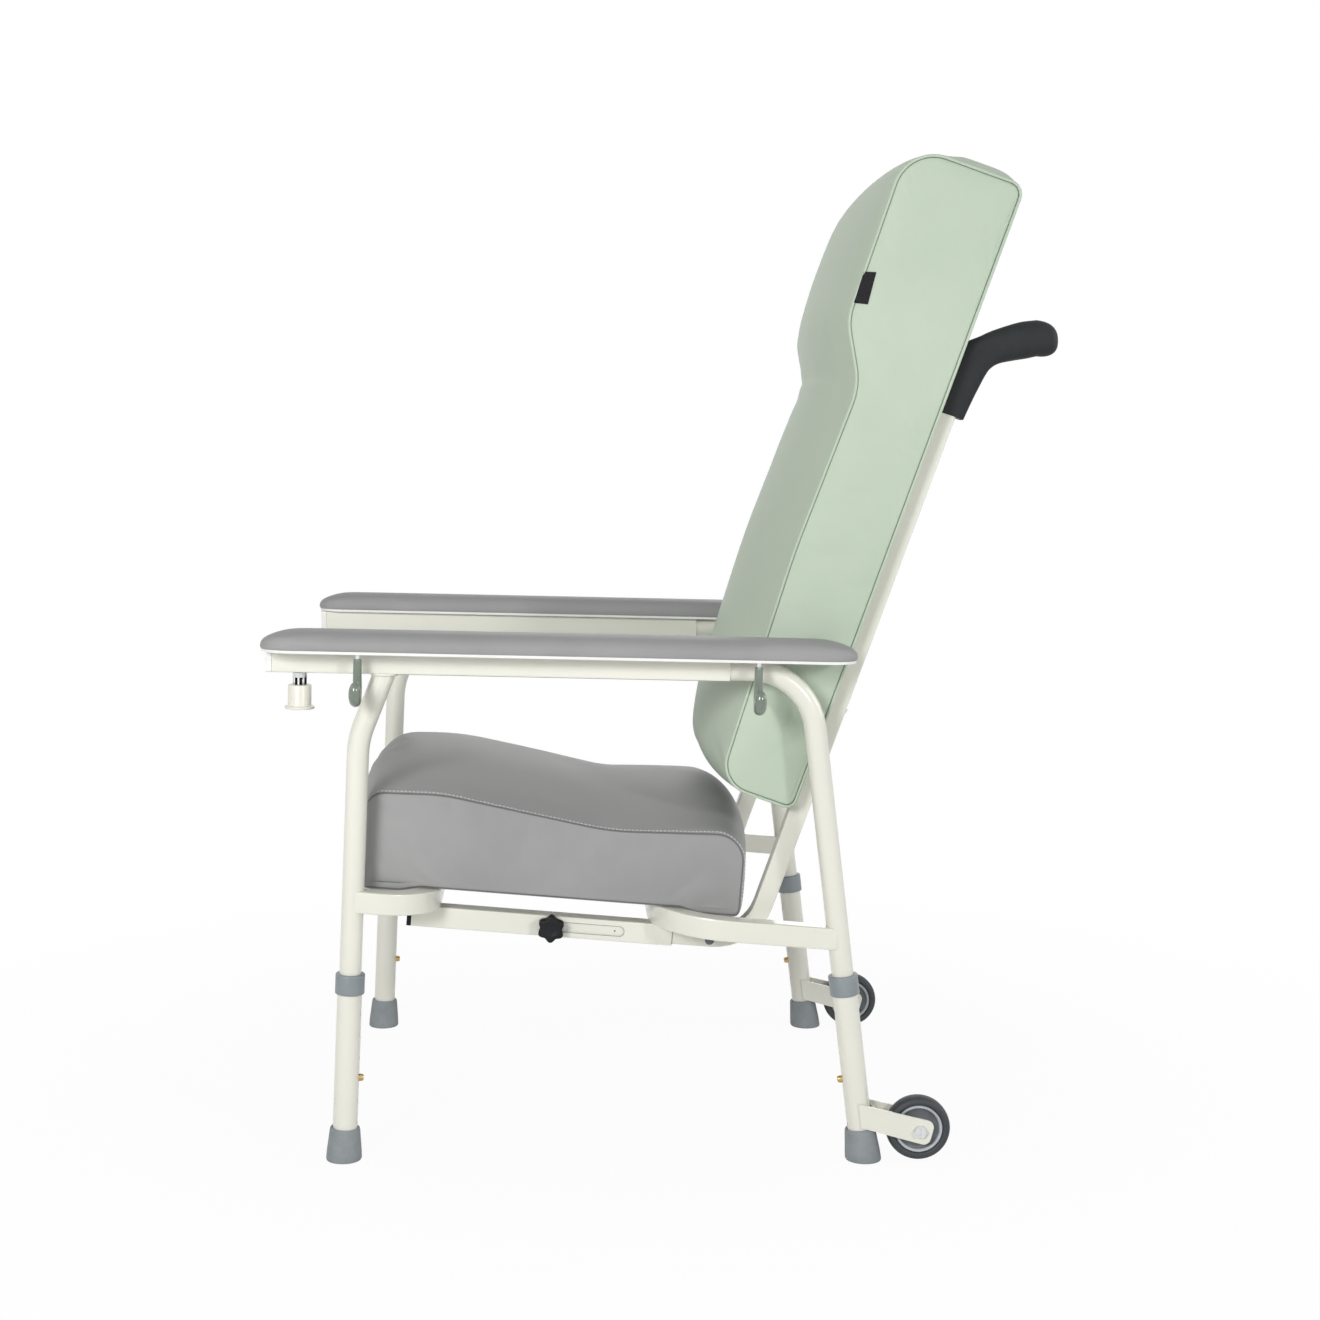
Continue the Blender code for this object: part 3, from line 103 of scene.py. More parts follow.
white = (1, 1, 1, 1)
studio = {
    "photoSize": 1320,  # pixels, square
    "focal": 2074.6,  # pixels
    "sensor": 36,  # millimetres
    "camera": (2.6077, -0.1223, 0.8164),
    "lookDown": 5.807,  # degrees
    "shift": 0.0795,
    "floorSize": 9.0,
    "paper": {"Base Color": (0.86, 0.86, 0.86, 1), "Roughness": 0.9},
    "floorWhite": 0.94,  # how white the paper shows by the chair
    "whiteOver": (0.35, 1.3),  # metres from the middle in which it goes all white
    "ambient": 0.26,
    "lampAim": (0, 0, 0.6),
    "lamps": {  # place, size, watts, colour
        "sideSoftbox": ((3.1, -1.4, 1.50), 1.0, 60, (1, 1, 1)),
        "sideStrip": ((3.0, 1.9, 1.4), 0.4, 27, (1, 1, 1)),
        "frontFill": ((0.5, -3.2, 2.3), 1.8, 10, (1, 0.94, 0.84)),
        "topPanel": ((0.2, 0.2, 3.4), 2.2, 3, (1, 1, 1)),
        "rearFill": ((0.0, 3.4, 1.6), 1.8, 26, (1, 1, 1)),
        "farFill": ((-3.4, 0.4, 1.2), 2.2, 15, (1, 1, 1)),
    },
}


def addObject(name, data):
    made = bpy.data.objects.new(name, data)
    bpy.context.scene.collection.objects.link(made)
    return made


def buildCamera():
    lens = bpy.data.cameras.new("photoCamera")
    lens.sensor_width = studio["sensor"]
    lens.lens = studio["focal"] / studio["photoSize"] * lens.sensor_width
    lens.shift_x = studio["shift"]
    camera = addObject("photoCamera", lens)
    camera.location = studio["camera"]
    camera.rotation_euler = (math.radians(90 - studio["lookDown"]), 0, math.radians(90))
    bpy.context.scene.camera = camera


def buildLight():
    for name, (place, size, watts, colour) in studio["lamps"].items():
        lamp = bpy.data.lights.new(name, "AREA")
        lamp.shape, lamp.size, lamp.energy, lamp.color = "DISK", size, watts, colour
        holder = addObject(name, lamp)
        holder.location = place
        toAim = Vector(studio["lampAim"]) - holder.location
        holder.rotation_euler = toAim.to_track_quat("-Z", "Y").to_euler()
    world = bpy.data.worlds.new("studioWorld")
    bpy.context.scene.world = world
    world.use_nodes = True
    tree = world.node_tree
    tree.nodes.clear()
    levels = (studio["ambient"], 1.0)
    glows = [addNode(tree, "Background", {"Color": white, "Strength": level}).outputs[0] for level in levels]
    addNode(tree, "OutputWorld", {"Surface": blendShader(tree, seenRay(tree), *glows)})


def buildFloor():  # shaded paper by the chair, white away from it
    half = studio["floorSize"] / 2
    mesh = bpy.data.meshes.new("paleFloor")
    corners = [(-half, -half, 0), (half, -half, 0), (half, half, 0), (-half, half, 0)]
    mesh.from_pydata(corners, [], [(0, 1, 2, 3)])
    paper, tree, shader = startMaterial("palePaper", studio["paper"])
    coords = addNode(tree, "TexCoord").outputs["Object"]
    away = addNode(tree, "VectorMath", {0: coords}, operation="LENGTH").outputs["Value"]
    fade = ranged(tree, away, *studio["whiteOver"], studio["floorWhite"], 1.0)
    glow = addNode(tree, "Emission", {"Color": white})
    seen = joined(tree, "MULTIPLY", fade, seenRay(tree))
    shown = blendShader(tree, seen, shader.outputs[0], glow.outputs[0])
    tree.links.new(shown, tree.nodes["Material Output"].inputs["Surface"])
    mesh.materials.append(paper)
    addObject("paleFloor", mesh)


bpy.context.scene.view_settings.view_transform = "Standard"
buildCamera()
buildLight()
buildFloor()
print("studio ready")


# shared surface effects

midTones = (0.3, 0.7)  # where the values of a noise texture lie
skinLook = {
    "randomness": 0.9, "cells": (0.1, 0.6), "cellShare": 0.55, "creaseRough": 0.6,
    "specks": (0.62, 0.75), "seams": (0.35, 1.0), "streaks": (0.56, 0.76),
}


def startGroup(name, inputs, outputs):
    group = bpy.data.node_groups.new(name, "ShaderNodeTree")
    for label, value in inputs.items():
        group.interface.new_socket(label, in_out="INPUT", socket_type="NodeSocketFloat").default_value = value
    for label in outputs:
        group.interface.new_socket(label, in_out="OUTPUT", socket_type="NodeSocketFloat")
    return group, group.nodes.new("NodeGroupInput").outputs, group.nodes.new("NodeGroupOutput").inputs


def buildVinylGrain():  # pebbled skin with soft creases and a broad tone drift
    inputs = {"Pebble": 800, "Crease": 55, "Drift": 6}
    group, take, give = startGroup("vinylGrain", inputs, ("Height", "Tone"))
    takes = {"Randomness": skinLook["randomness"]}
    pebble = texture(group, "Voronoi", take["Pebble"], takes, feature="SMOOTH_F1")
    cells = ranged(group, pebble.outputs["Distance"], *skinLook["cells"], 1.0, 0.0)
    cells = joined(group, "MULTIPLY", cells, skinLook["cellShare"])
    folds = noise(group, take["Crease"], 4.0, Roughness=skinLook["creaseRough"])
    folds = ranged(group, folds, *midTones)
    group.links.new(joined(group, "ADD", cells, folds), give["Height"])
    group.links.new(ranged(group, noise(group, take["Drift"], 3.0), *midTones), give["Tone"])
    return group


def buildPaintSkin():  # orange peel of a sprayed or moulded skin, with tone drift and fine specks
    inputs = {"Peel": 380, "Drift": 9, "Speck": 900}
    group, take, give = startGroup("paintSkin", inputs, ("Height", "Tone", "Speck"))
    group.links.new(noise(group, take["Peel"], 2.0), give["Height"])
    group.links.new(ranged(group, noise(group, take["Drift"], 3.0), *midTones), give["Tone"])
    group.links.new(ranged(group, noise(group, take["Speck"], 1.0), *skinLook["specks"]), give["Speck"])
    return group


def buildDrawnMetal():  # fine lines left by drawing or turning
    group, take, give = startGroup("drawnMetal", {"Line": 900, "Drift": 40}, ("Height", "Tone"))
    group.links.new(noise(group, take["Line"], 3.0), give["Height"])
    group.links.new(ranged(group, noise(group, take["Drift"], 2.0), *midTones), give["Tone"])
    return group


def buildSeamShade():  # painted shade that lies along a sewn line
    group, _, give = startGroup("seamShade", {}, ("Mask",))
    mark = addNode(group, "Attribute", attribute_name="seam")
    group.links.new(ranged(group, mark.outputs["Fac"], *skinLook["seams"]), give["Mask"])
    return group


vinylGrain = buildVinylGrain()
paintSkin = buildPaintSkin()
drawnMetal = buildDrawnMetal()
seamShade = buildSeamShade()


def placeGroup(tree, group, **values):
    return addNode(tree, "Group", values, node_tree=group).outputs


def addBump(tree, shader, height, look):
    bump = addNode(tree, "Bump", {"Distance": look["depth"], "Strength": look["strength"], "Height": height})
    tree.links.new(bump.outputs["Normal"], shader.inputs["Normal"])


def sewnVinyl(name, **changes):
    look = {"rough": (0.50, 0.60), "pebble": 750, "crease": 40, "depth": 0.0005, "strength": 0.14, **changes}
    material, tree, shader = startMaterial(name, {"Specular IOR Level": look["gloss"]})
    grain = placeGroup(tree, vinylGrain, Pebble=look["pebble"], Crease=look["crease"], Drift=look["drift"])
    skin = blendColour(tree, grain["Tone"], look["deep"], look["pale"])
    # the seam colour is painted shade along the sewn lines
    sewn = blendColour(tree, placeGroup(tree, seamShade)["Mask"], skin, look["seam"])
    tree.links.new(sewn, shader.inputs["Base Color"])
    tree.links.new(ranged(tree, grain["Tone"], 0, 1, *look["rough"]), shader.inputs["Roughness"])
    addBump(tree, shader, grain["Height"], look)
    return material


mouldedLook = {
    "rough": (0.34, 0.44), "gloss": 0.5, "coat": 0.0, "coatRough": 0.12,
    "peel": 500, "drift": 60, "speckScale": 900, "depth": 0.0002, "strength": 0.15,
}


def coated(name, **changes):  # sprayed steel and moulded plastic or rubber
    look = {**mouldedLook, **changes}
    fixed = {"Metallic": 0.0, "Specular IOR Level": look["gloss"], "Coat Weight": look["coat"],
             "Coat Roughness": look["coatRough"]}
    material, tree, shader = startMaterial(name, fixed)
    skin = placeGroup(tree, paintSkin, Peel=look["peel"], Drift=look["drift"], Speck=look["speckScale"])
    tone = blendColour(tree, skin["Tone"], look["deep"], look["pale"])
    tree.links.new(blendColour(tree, skin["Speck"], tone, look["speck"]), shader.inputs["Base Color"])
    tree.links.new(ranged(tree, skin["Tone"], 0, 1, *look["rough"]), shader.inputs["Roughness"])
    addBump(tree, shader, skin["Height"], look)
    return material


def bareMetal(name, **changes):
    look = {"depth": 0.0001, "strength": 0.2, "streaks": None, **changes}
    material, tree, shader = startMaterial(name, {"Metallic": 1.0})
    skin = placeGroup(tree, drawnMetal, Line=look["line"], Drift=look["drift"])
    colour = blendColour(tree, skin["Tone"], look["deep"], look["pale"])
    if look["streaks"]:  # painted reflections: dark and bright bands fixed along a polished barrel
        wave = texture(tree, "Wave", look["streaks"], bands_direction="Y")
        bands = ranged(tree, wave.outputs["Fac"], *skinLook["streaks"])
        colour = blendColour(tree, bands, look["dark"], colour)
    tree.links.new(colour, shader.inputs["Base Color"])
    tree.links.new(ranged(tree, skin["Height"], *midTones, *look["rough"]), shader.inputs["Roughness"])
    addBump(tree, shader, skin["Height"], look)
    return material


def layeredWood(name, look):
    material, tree, shader = startMaterial(name, {"Roughness": look["rough"]})
    coords = addNode(tree, "TexCoord").outputs["Object"]
    stretch = addNode(tree, "Mapping", {"Vector": coords, "Scale": look["stretch"]})
    takes = {"Vector": stretch.outputs["Vector"], "Scale": 6, "Detail": 6, "Distortion": 1.2}
    rings = addNode(tree, "TexNoise", takes).outputs["Fac"]
    tone = ranged(tree, rings, *midTones)
    tree.links.new(blendColour(tree, tone, look["deep"], look["pale"]), shader.inputs["Base Color"])
    addBump(tree, shader, rings, look)
    return material


threadLook = {"rough": (0.55, 0.70), "peel": 2500, "drift": 300, "strength": 0.5}
finishes = {
    "ivory": coated(
        "ivoryPowderCoat", deep=(0.735, 0.733, 0.650), pale=(0.775, 0.772, 0.690),
        speck=(0.740, 0.735, 0.655), rough=(0.28, 0.36), coat=0.5, peel=420,
        drift=5, depth=0.0003, strength=0.10),
    # each vinyl's seam colour is painted shade along its seams
    "sage": sewnVinyl(
        "sageVinyl", deep=(0.462, 0.548, 0.440), pale=(0.520, 0.600, 0.494), seam=(0.16, 0.22, 0.16),
        gloss=0.28, drift=5),
    "grey": sewnVinyl(
        "greyVinyl", deep=(0.286, 0.286, 0.288), pale=(0.342, 0.342, 0.344), seam=(0.14, 0.14, 0.145),
        gloss=0.26, drift=6),
    "white": coated(
        "whitePlastic", deep=(0.80, 0.80, 0.78), pale=(0.86, 0.86, 0.84), speck=(0.78, 0.78, 0.76),
        rough=(0.30, 0.40), peel=600, drift=20, strength=0.10),
    "cream": coated(
        "creamPlastic", deep=(0.745, 0.725, 0.645), pale=(0.80, 0.78, 0.70), speck=(0.72, 0.70, 0.62),
        rough=(0.28, 0.38), drift=40, strength=0.12),
    "collar": coated(
        "collarPlastic", deep=(0.215, 0.245, 0.262), pale=(0.260, 0.292, 0.310), speck=(0.21, 0.235, 0.255),
        rough=(0.36, 0.46), drift=40),
    "ferrule": coated(
        "ferruleRubber", deep=(0.225, 0.248, 0.260), pale=(0.275, 0.298, 0.310), speck=(0.30, 0.32, 0.33),
        rough=(0.55, 0.70), gloss=0.35, peel=900, depth=0.0003, strength=0.35),
    "hook": coated(
        "hookPlastic", deep=(0.130, 0.168, 0.130), pale=(0.176, 0.214, 0.170), speck=(0.13, 0.17, 0.13),
        rough=(0.10, 0.18), coat=0.8, peel=300, drift=50, strength=0.08),
    "black": coated(
        "blackPlastic", deep=(0.010, 0.011, 0.012), pale=(0.018, 0.019, 0.020), speck=(0.028, 0.029, 0.030),
        rough=(0.34, 0.46), gloss=0.13, peel=1100, drift=50, speckScale=1500, depth=0.0003, strength=0.25),
    "gripFoam": coated(
        "gripRubber", deep=(0.017, 0.019, 0.020), pale=(0.027, 0.030, 0.031), speck=(0.038, 0.041, 0.043),
        rough=(0.48, 0.62), gloss=0.16, peel=1300, drift=30, speckScale=1700, depth=0.0004, strength=0.35),
    "tyre": coated(
        "tyreRubber", deep=(0.022, 0.026, 0.030), pale=(0.037, 0.042, 0.047), speck=(0.056, 0.061, 0.066),
        rough=(0.50, 0.66), peel=1000, depth=0.0003, strength=0.35),
    "hub": coated(
        "hubPlastic", deep=(0.095, 0.107, 0.117), pale=(0.145, 0.158, 0.170), speck=(0.105, 0.115, 0.125)),
    "rim": coated(
        "rimPlastic", deep=(0.400, 0.425, 0.450), pale=(0.480, 0.505, 0.530), speck=(0.42, 0.44, 0.46)),
    "tab": coated(
        "tabCloth", deep=(0.010, 0.010, 0.012), pale=(0.018, 0.018, 0.021), speck=(0.040, 0.040, 0.045),
        rough=(0.70, 0.85), gloss=0.2, peel=1600, drift=200, depth=0.0004, strength=0.6),
    "thread": coated(
        "sewingThread", deep=(0.56, 0.56, 0.56), pale=(0.68, 0.68, 0.68), speck=(0.52, 0.52, 0.52),
        **threadLook),
    "sageThread": coated(
        "sageThread", deep=(0.60, 0.69, 0.57), pale=(0.70, 0.78, 0.67), speck=(0.56, 0.65, 0.54),
        **threadLook),
    "brass": bareMetal(
        "buttonBrass", deep=(0.40, 0.27, 0.10), pale=(0.56, 0.40, 0.18), rough=(0.26, 0.40),
        line=1500, drift=300),
    # the chrome's dark bands are painted reflections of dark surroundings
    "chrome": bareMetal(
        "barrelChrome", deep=(0.80, 0.81, 0.82), pale=(0.90, 0.90, 0.91), dark=(0.016, 0.017, 0.015),
        rough=(0.08, 0.16), line=900, drift=200, strength=0.15, streaks=60),
    "steel": bareMetal(
        "brightSteel", deep=(0.62, 0.63, 0.64), pale=(0.76, 0.77, 0.78), rough=(0.16, 0.30),
        line=1200, drift=200),
    "plywood": layeredWood("plywood", {
        "deep": (0.36, 0.25, 0.14), "pale": (0.56, 0.42, 0.27), "rough": 0.7,
        "stretch": (14, 1.2, 60), "depth": 0.0004, "strength": 0.3}),
}
print("finishes ready:", len(finishes))


# the chair's own frames

def leaningSpace(origin, tilt):
    return Matrix.Translation(origin) @ Matrix.Rotation(math.radians(tilt), 4, "X")


sides = {"left": 1, "right": -1}
sideX = 0.28
seatSpace = leaningSpace((0, -0.3322, 0.3152), -4.5)
backSpace = leaningSpace((0, 0.1438, 0.38543), -19.6)
legFeet = {"front": (-0.3663, -2.5), "rear": (0.23386, 7.0)}  # Y on the floor, lean


def armSpace(side):
    return leaningSpace((side * sideX, -0.4476, 0.5672), -1.2)


def legSpace(end, side):
    y, lean = legFeet[end]
    return leaningSpace((side * sideX, y, 0), lean)


def outwardSpace(space, spot, side):  # its Z points out of the chair's side
    x, y, z = spot
    return space @ Matrix.Translation((side * x, y, z)) @ Matrix.Rotation(math.radians(90 * side), 4, "Y")


# mesh helpers

def meshPiece(name, points, faces, finish, body, stands=(), slot=None, space=None, sharp=40):
    mesh = bpy.data.meshes.new(name)
    mesh.from_pydata([tuple(p) for p in points], [], faces)
    work = bmesh.new()
    work.from_mesh(mesh)
    bmesh.ops.recalc_face_normals(work, faces=work.faces)
    work.to_mesh(mesh)
    work.free()
    if space is not None:
        mesh.transform(space)
    mesh.shade_smooth()
    mesh.set_sharp_from_angle(angle=math.radians(sharp))
    mesh.materials.append(finishes[finish])
    piece = addObject(name, mesh)
    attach(piece, body)
    if stands:
        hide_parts(*stands)
    return piece


def loft(rings, caps=True, closedRow=False):
    count, rows = len(rings[0]), len(rings)
    points = [p for ring in rings for p in ring]
    faces = []
    for j in range(rows if closedRow else rows - 1):
        a, b = j * count, (j + 1) % rows * count
        for i in range(count):
            k = (i + 1) % count
            faces.append((a + i, a + k, b + k, b + i))
    if caps and not closedRow:
        faces.append(tuple(range(count))[::-1])
        faces.append(tuple(range((rows - 1) * count, rows * count)))
    return points, faces


def addMesh(points, faces, made):  # takes one more mesh into the points and faces
    more, quads = made
    faces += [tuple(v + len(points) for v in quad) for quad in quads]
    points += more


def turns(count, shift=0.0):  # cosine and sine of even steps round a circle
    return [(math.cos(t), math.sin(t)) for t in (2 * math.pi * (k + shift) / count for k in range(count))]


def turnedRings(profile, count=56):
    return [[(radius * c, radius * s, height) for c, s in turns(count)] for radius, height in profile]


def turnedPiece(name, profile, space, finish, body, stands=(), slot=None, closed=False, count=56, sharp=40):
    points, faces = loft(turnedRings(profile, count), closedRow=closed)
    return meshPiece(name, points, faces, finish, body, stands, slot, space, sharp)


def roundedLine(corners, closed, step):  # corners are (x, y, radius), the step is in degrees
    points = []
    for i, (x, y, radius) in enumerate(corners):
        here = Vector((x, y))
        if radius == 0 or (not closed and i in (0, len(corners) - 1)):
            points.append(here)
            continue
        before = (Vector(corners[i - 1][:2]) - here).normalized()
        after = (Vector(corners[(i + 1) % len(corners)][:2]) - here).normalized()
        half = before.angle(after) / 2
        centre = here + (before + after).normalized() * (radius / math.sin(half))
        start = here + before * (radius / math.tan(half)) - centre
        end = here + after * (radius / math.tan(half)) - centre
        turn = math.atan2(start.cross(end), start.dot(end))
        count = max(2, math.ceil(abs(turn) / math.radians(step)))
        points += [centre + Matrix.Rotation(turn * k / count, 2) @ start for k in range(count + 1)]
    return points


def runLengths(line):
    return np.concatenate([[0], np.cumsum(np.linalg.norm(np.diff(line, axis=0), axis=1))])


def alongRun(track, run, at):  # the track where its run has this length
    return np.array([np.interp(at, run, values) for values in track.T])


def evenly(points, count):
    line = np.array([tuple(p) for p in points], float)
    run = runLengths(line)
    return alongRun(line, run, np.linspace(0, run[-1], count)).T


def sweptRings(path, radii, count, closed=False):
    path = [Vector(p) for p in path]
    rings, across, last = [], None, len(path) - 1
    for i, point in enumerate(path):
        ahead = path[(i + 1) % len(path)] if closed else path[min(i + 1, last)]
        behind = path[i - 1] if closed else path[max(i - 1, 0)]
        along = (ahead - behind).normalized()
        if across is None:
            across = along.orthogonal().normalized()
        across = (across - along * across.dot(along)).normalized()
        other = along.cross(across)
        rings.append([point + (across * c + other * s) * radii[i] for c, s in turns(count)])
    return rings


def smoothPath(points, count):  # Catmull-Rom through the given points
    points = [np.array(p, float) for p in points]
    ends = [2 * points[0] - points[1]] + points + [2 * points[-1] - points[-2]]
    out = []
    for a, b, c, d in zip(ends, ends[1:], ends[2:], ends[3:]):
        square, cube = 2 * a - 5 * b + 4 * c - d, 3 * b - a - 3 * c + d
        for t in (k / count for k in range(count)):
            out.append(0.5 * (2 * b + (c - a) * t + square * t**2 + cube * t**3))
    return out + [points[-1]]


def ramp(values, start, width):  # from 0 to 1 over the width, downward where it is negative
    return np.clip((values - start) / width, 0, 1)


# sewn cushions: a cover panel over a side outline, two side panels and a flat base

def outwardNormals(loop):
    step = np.roll(loop, -1, axis=0) - np.roll(loop, 1, axis=0)
    step /= np.linalg.norm(step, axis=1)[:, None]
    area = np.sum(loop[:, 0] * np.roll(loop[:, 1], -1) - loop[:, 1] * np.roll(loop[:, 0], -1))
    return np.stack([step[:, 1], -step[:, 0]], axis=1) * (1 if area > 0 else -1)


def cushionStations(look):  # across the cushion: x, inset, share of the crown, at the rim or not, seam shade
    half = look["half"]
    inner = half - look["edgeSteps"][-1]
    crowned = [half - depth for depth in look["edgeSteps"]]
    crowned += [inner * (1 - k / look["across"]) for k in range(1, look["across"] + 1)]
    stations = [(half - depth, inset, 0.0, 1.0, seam) for depth, inset, seam in look["rim"]]
    stations += [(x, 0.0, 1 - (x / half) ** 2, 0.0, 0.0) for x in crowned]
    return stations + [(-x, *rest) for x, *rest in stations[-2::-1]]


def sidePanel(edge, start, first, end, count, look):  # the swelled side inside one end ring
    size, rows = len(edge), look["sideRows"]
    across, along = look["swellPowers"]
    points, faces = [], []
    for k in range(1, rows):
        for i in range(1, count):
            point = edge[i] + (edge[size - i] - edge[i]) * (k / rows)
            swell = math.sin(math.pi * k / rows) ** across * math.sin(math.pi * i / count) ** along
            point[0] += end * look["sideSwell"] * swell
            points.append(point)

    def at(k, i):
        if k == 0 or i in (0, count):
            return start + i
        return start + size - i if k == rows else first + (k - 1) * (count - 1) + i - 1

    for k in range(rows):
        for i in range(count):
            quad = [at(k, i), at(k, i + 1), at(k + 1, i + 1), at(k + 1, i)]
            quad = [v for n, v in enumerate(quad) if v != quad[n - 1]]
            if len(quad) > 2:
                faces.append(tuple(quad))
    return points, faces


def cushionMesh(cover, crown, sewn, roll, look):
    count = len(cover) - 1
    size = 2 * count
    base = cover[0] + (cover[-1] - cover[0]) * np.linspace(0, 1, count + 1)[:, None]
    loop = np.concatenate([cover, base[-2:0:-1]])
    normals = outwardNormals(loop)
    lift = np.concatenate([crown(cover, normals[:count + 1]), np.zeros(count - 1)])
    weight = sewn(loop, normals)
    stations = cushionStations(look)
    points = np.zeros((len(stations), size, 3))
    seams, held = np.zeros((2, len(stations), size))
    for j, (x, inset, share, atRim, seam) in enumerate(stations):
        out = lift * share - inset * weight + atRim * roll(normals)
        points[j, :, 0] = x
        points[j, :, 1:] = loop + normals * out[:, None]
        seams[j] = seam * weight
        held[j, count + 1:] = 1
        held[j, :count + 1] = 1 if seam > look["heldOver"] else 0
    faces = loft(points, caps=False)[1]
    points = points.reshape(-1, 3)
    sidePoints = []
    for end, start in ((1, 0), (-1, (len(stations) - 1) * size)):
        first = len(points) + len(sidePoints)
        more, quads = sidePanel(points[start:start + size], start, first, end, count, look)
        sidePoints += more
        faces += quads
    rest = np.zeros(len(sidePoints))
    seams, held = (np.concatenate([marks.ravel(), rest]) for marks in (seams, held))
    return np.concatenate([points, np.array(sidePoints)]), faces, seams, held, loop, normals, len(stations)


clothLook = {"quality": 4, "mass": 0.4, "tension_damping": 12, "air_damping": 4, "use_pressure": True}
fillFrames = 20


def inflate(piece, held, look):  # pressure fills the cover, and the seams and the base hold it
    scene = bpy.context.scene
    group = piece.vertex_groups.new(name="held")
    group.add([int(index) for index in np.nonzero(held > 0.5)[0]], 1.0, "REPLACE")
    cloth = piece.modifiers.new("fill", "CLOTH")
    tension = look["tension"]
    settings = {
        **clothLook, "tension_stiffness": tension, "compression_stiffness": tension,
        "shear_stiffness": tension * look["shear"], "bending_stiffness": look["bending"],
        "uniform_pressure_force": look["pressure"], "shrink_min": -look["slack"], "vertex_group_mass": "held",
    }
    for label, value in settings.items():
        setattr(cloth.settings, label, value)
    cloth.settings.effector_weights.gravity = 0
    cloth.collision_settings.use_collision = False
    rest = np.array([v.co for v in piece.data.vertices])
    for step in range(1, fillFrames + 1):
        scene.frame_set(step)
    graph = bpy.context.evaluated_depsgraph_get()
    filled = np.array([v.co for v in piece.evaluated_get(graph).data.vertices])
    piece.modifiers.remove(cloth)
    scene.frame_set(1)
    move = filled - rest
    size = np.linalg.norm(move, axis=1)
    cap = look["cap"]
    move *= (cap * np.tanh(size / cap) / np.maximum(size, 1e-9))[:, None]
    piece.data.vertices.foreach_set("co", (rest + move).ravel())
    piece.data.update()
    print(piece.name, "filled, most moved mm:", round(float(size.max()) * 1000, 1))


def refine(piece):
    step = piece.modifiers.new("smooth", "SUBSURF")
    step.levels = step.render_levels = 1
    graph = bpy.context.evaluated_depsgraph_get()
    shaped = piece.evaluated_get(graph)
    mesh = bpy.data.meshes.new_from_object(shaped, preserve_all_data_layers=True, depsgraph=graph)
    piece.modifiers.remove(step)
    piece.data = mesh
    mesh.shade_smooth()


stitchLook = {
    "pitch": 0.0046, "length": 0.0033, "rise": 0.0004, "sink": 0.0001, "around": 6,
    "shares": (-0.5, -0.25, 0.0, 0.25, 0.5), "thick": (0.45, 0.95, 1.0, 0.95, 0.45),
}


def stitchRow(rows, radius):  # short thread lengths that lie on the cover along each row of (point, normal)
    points, faces, pitch = [], [], stitchLook["pitch"]
    radii = [radius * share for share in stitchLook["thick"]]
    for row in rows:
        line, ups = np.array([p for p, _ in row]), np.array([n for _, n in row])
        run = runLengths(line)
        at = pitch
        while at < run[-1] - pitch:
            ends = []
            for share in stitchLook["shares"]:
                s = at + share * stitchLook["length"]
                point, up = alongRun(line, run, s), alongRun(ups, run, s)
                bow = stitchLook["rise"] * (1 - (2 * share) ** 2) - stitchLook["sink"]
                ends.append(Vector(point + up / np.linalg.norm(up) * bow))
            addMesh(points, faces, loft(sweptRings(ends, radii, stitchLook["around"])))
            at += pitch
    return points, faces


def ringLine(piece, first, indices):
    vertices = [piece.data.vertices[first + i] for i in indices]
    return [(np.array(v.co), np.array(v.normal)) for v in vertices]


def sewCushion(name, look, crown, sewn, roll, shape, finish, body, node, space):
    cover = evenly(roundedLine(look["corners"], False, look["arcStep"]), look["along"] + 1)
    points, faces, seams, held, loop, normals, stations = cushionMesh(cover, crown, sewn, roll, look)
    slot = finish + "_vinyl"
    piece = meshPiece(name, shape(points), faces, finish, body, (node,), slot)
    piece.data.attributes.new("seam", "FLOAT", "POINT").data.foreach_set("value", seams)
    inflate(piece, held, look)
    (yLow, yHigh), (zLow, zHigh) = look["stitched"]
    stitched = [i for i, (y, z) in enumerate(loop[:len(cover)]) if yLow < y < yHigh and zLow < z < zHigh]
    ends = (look["stitchStation"], stations - 1 - look["stitchStation"])
    rows = [ringLine(piece, at * len(loop), stitched) for at in ends]
    refine(piece)
    piece.data.transform(space)
    thread, radius = look["thread"]
    meshPiece(name + "Stitches", *stitchRow(rows, radius), thread, body, (), slot, space)
    return loop, normals


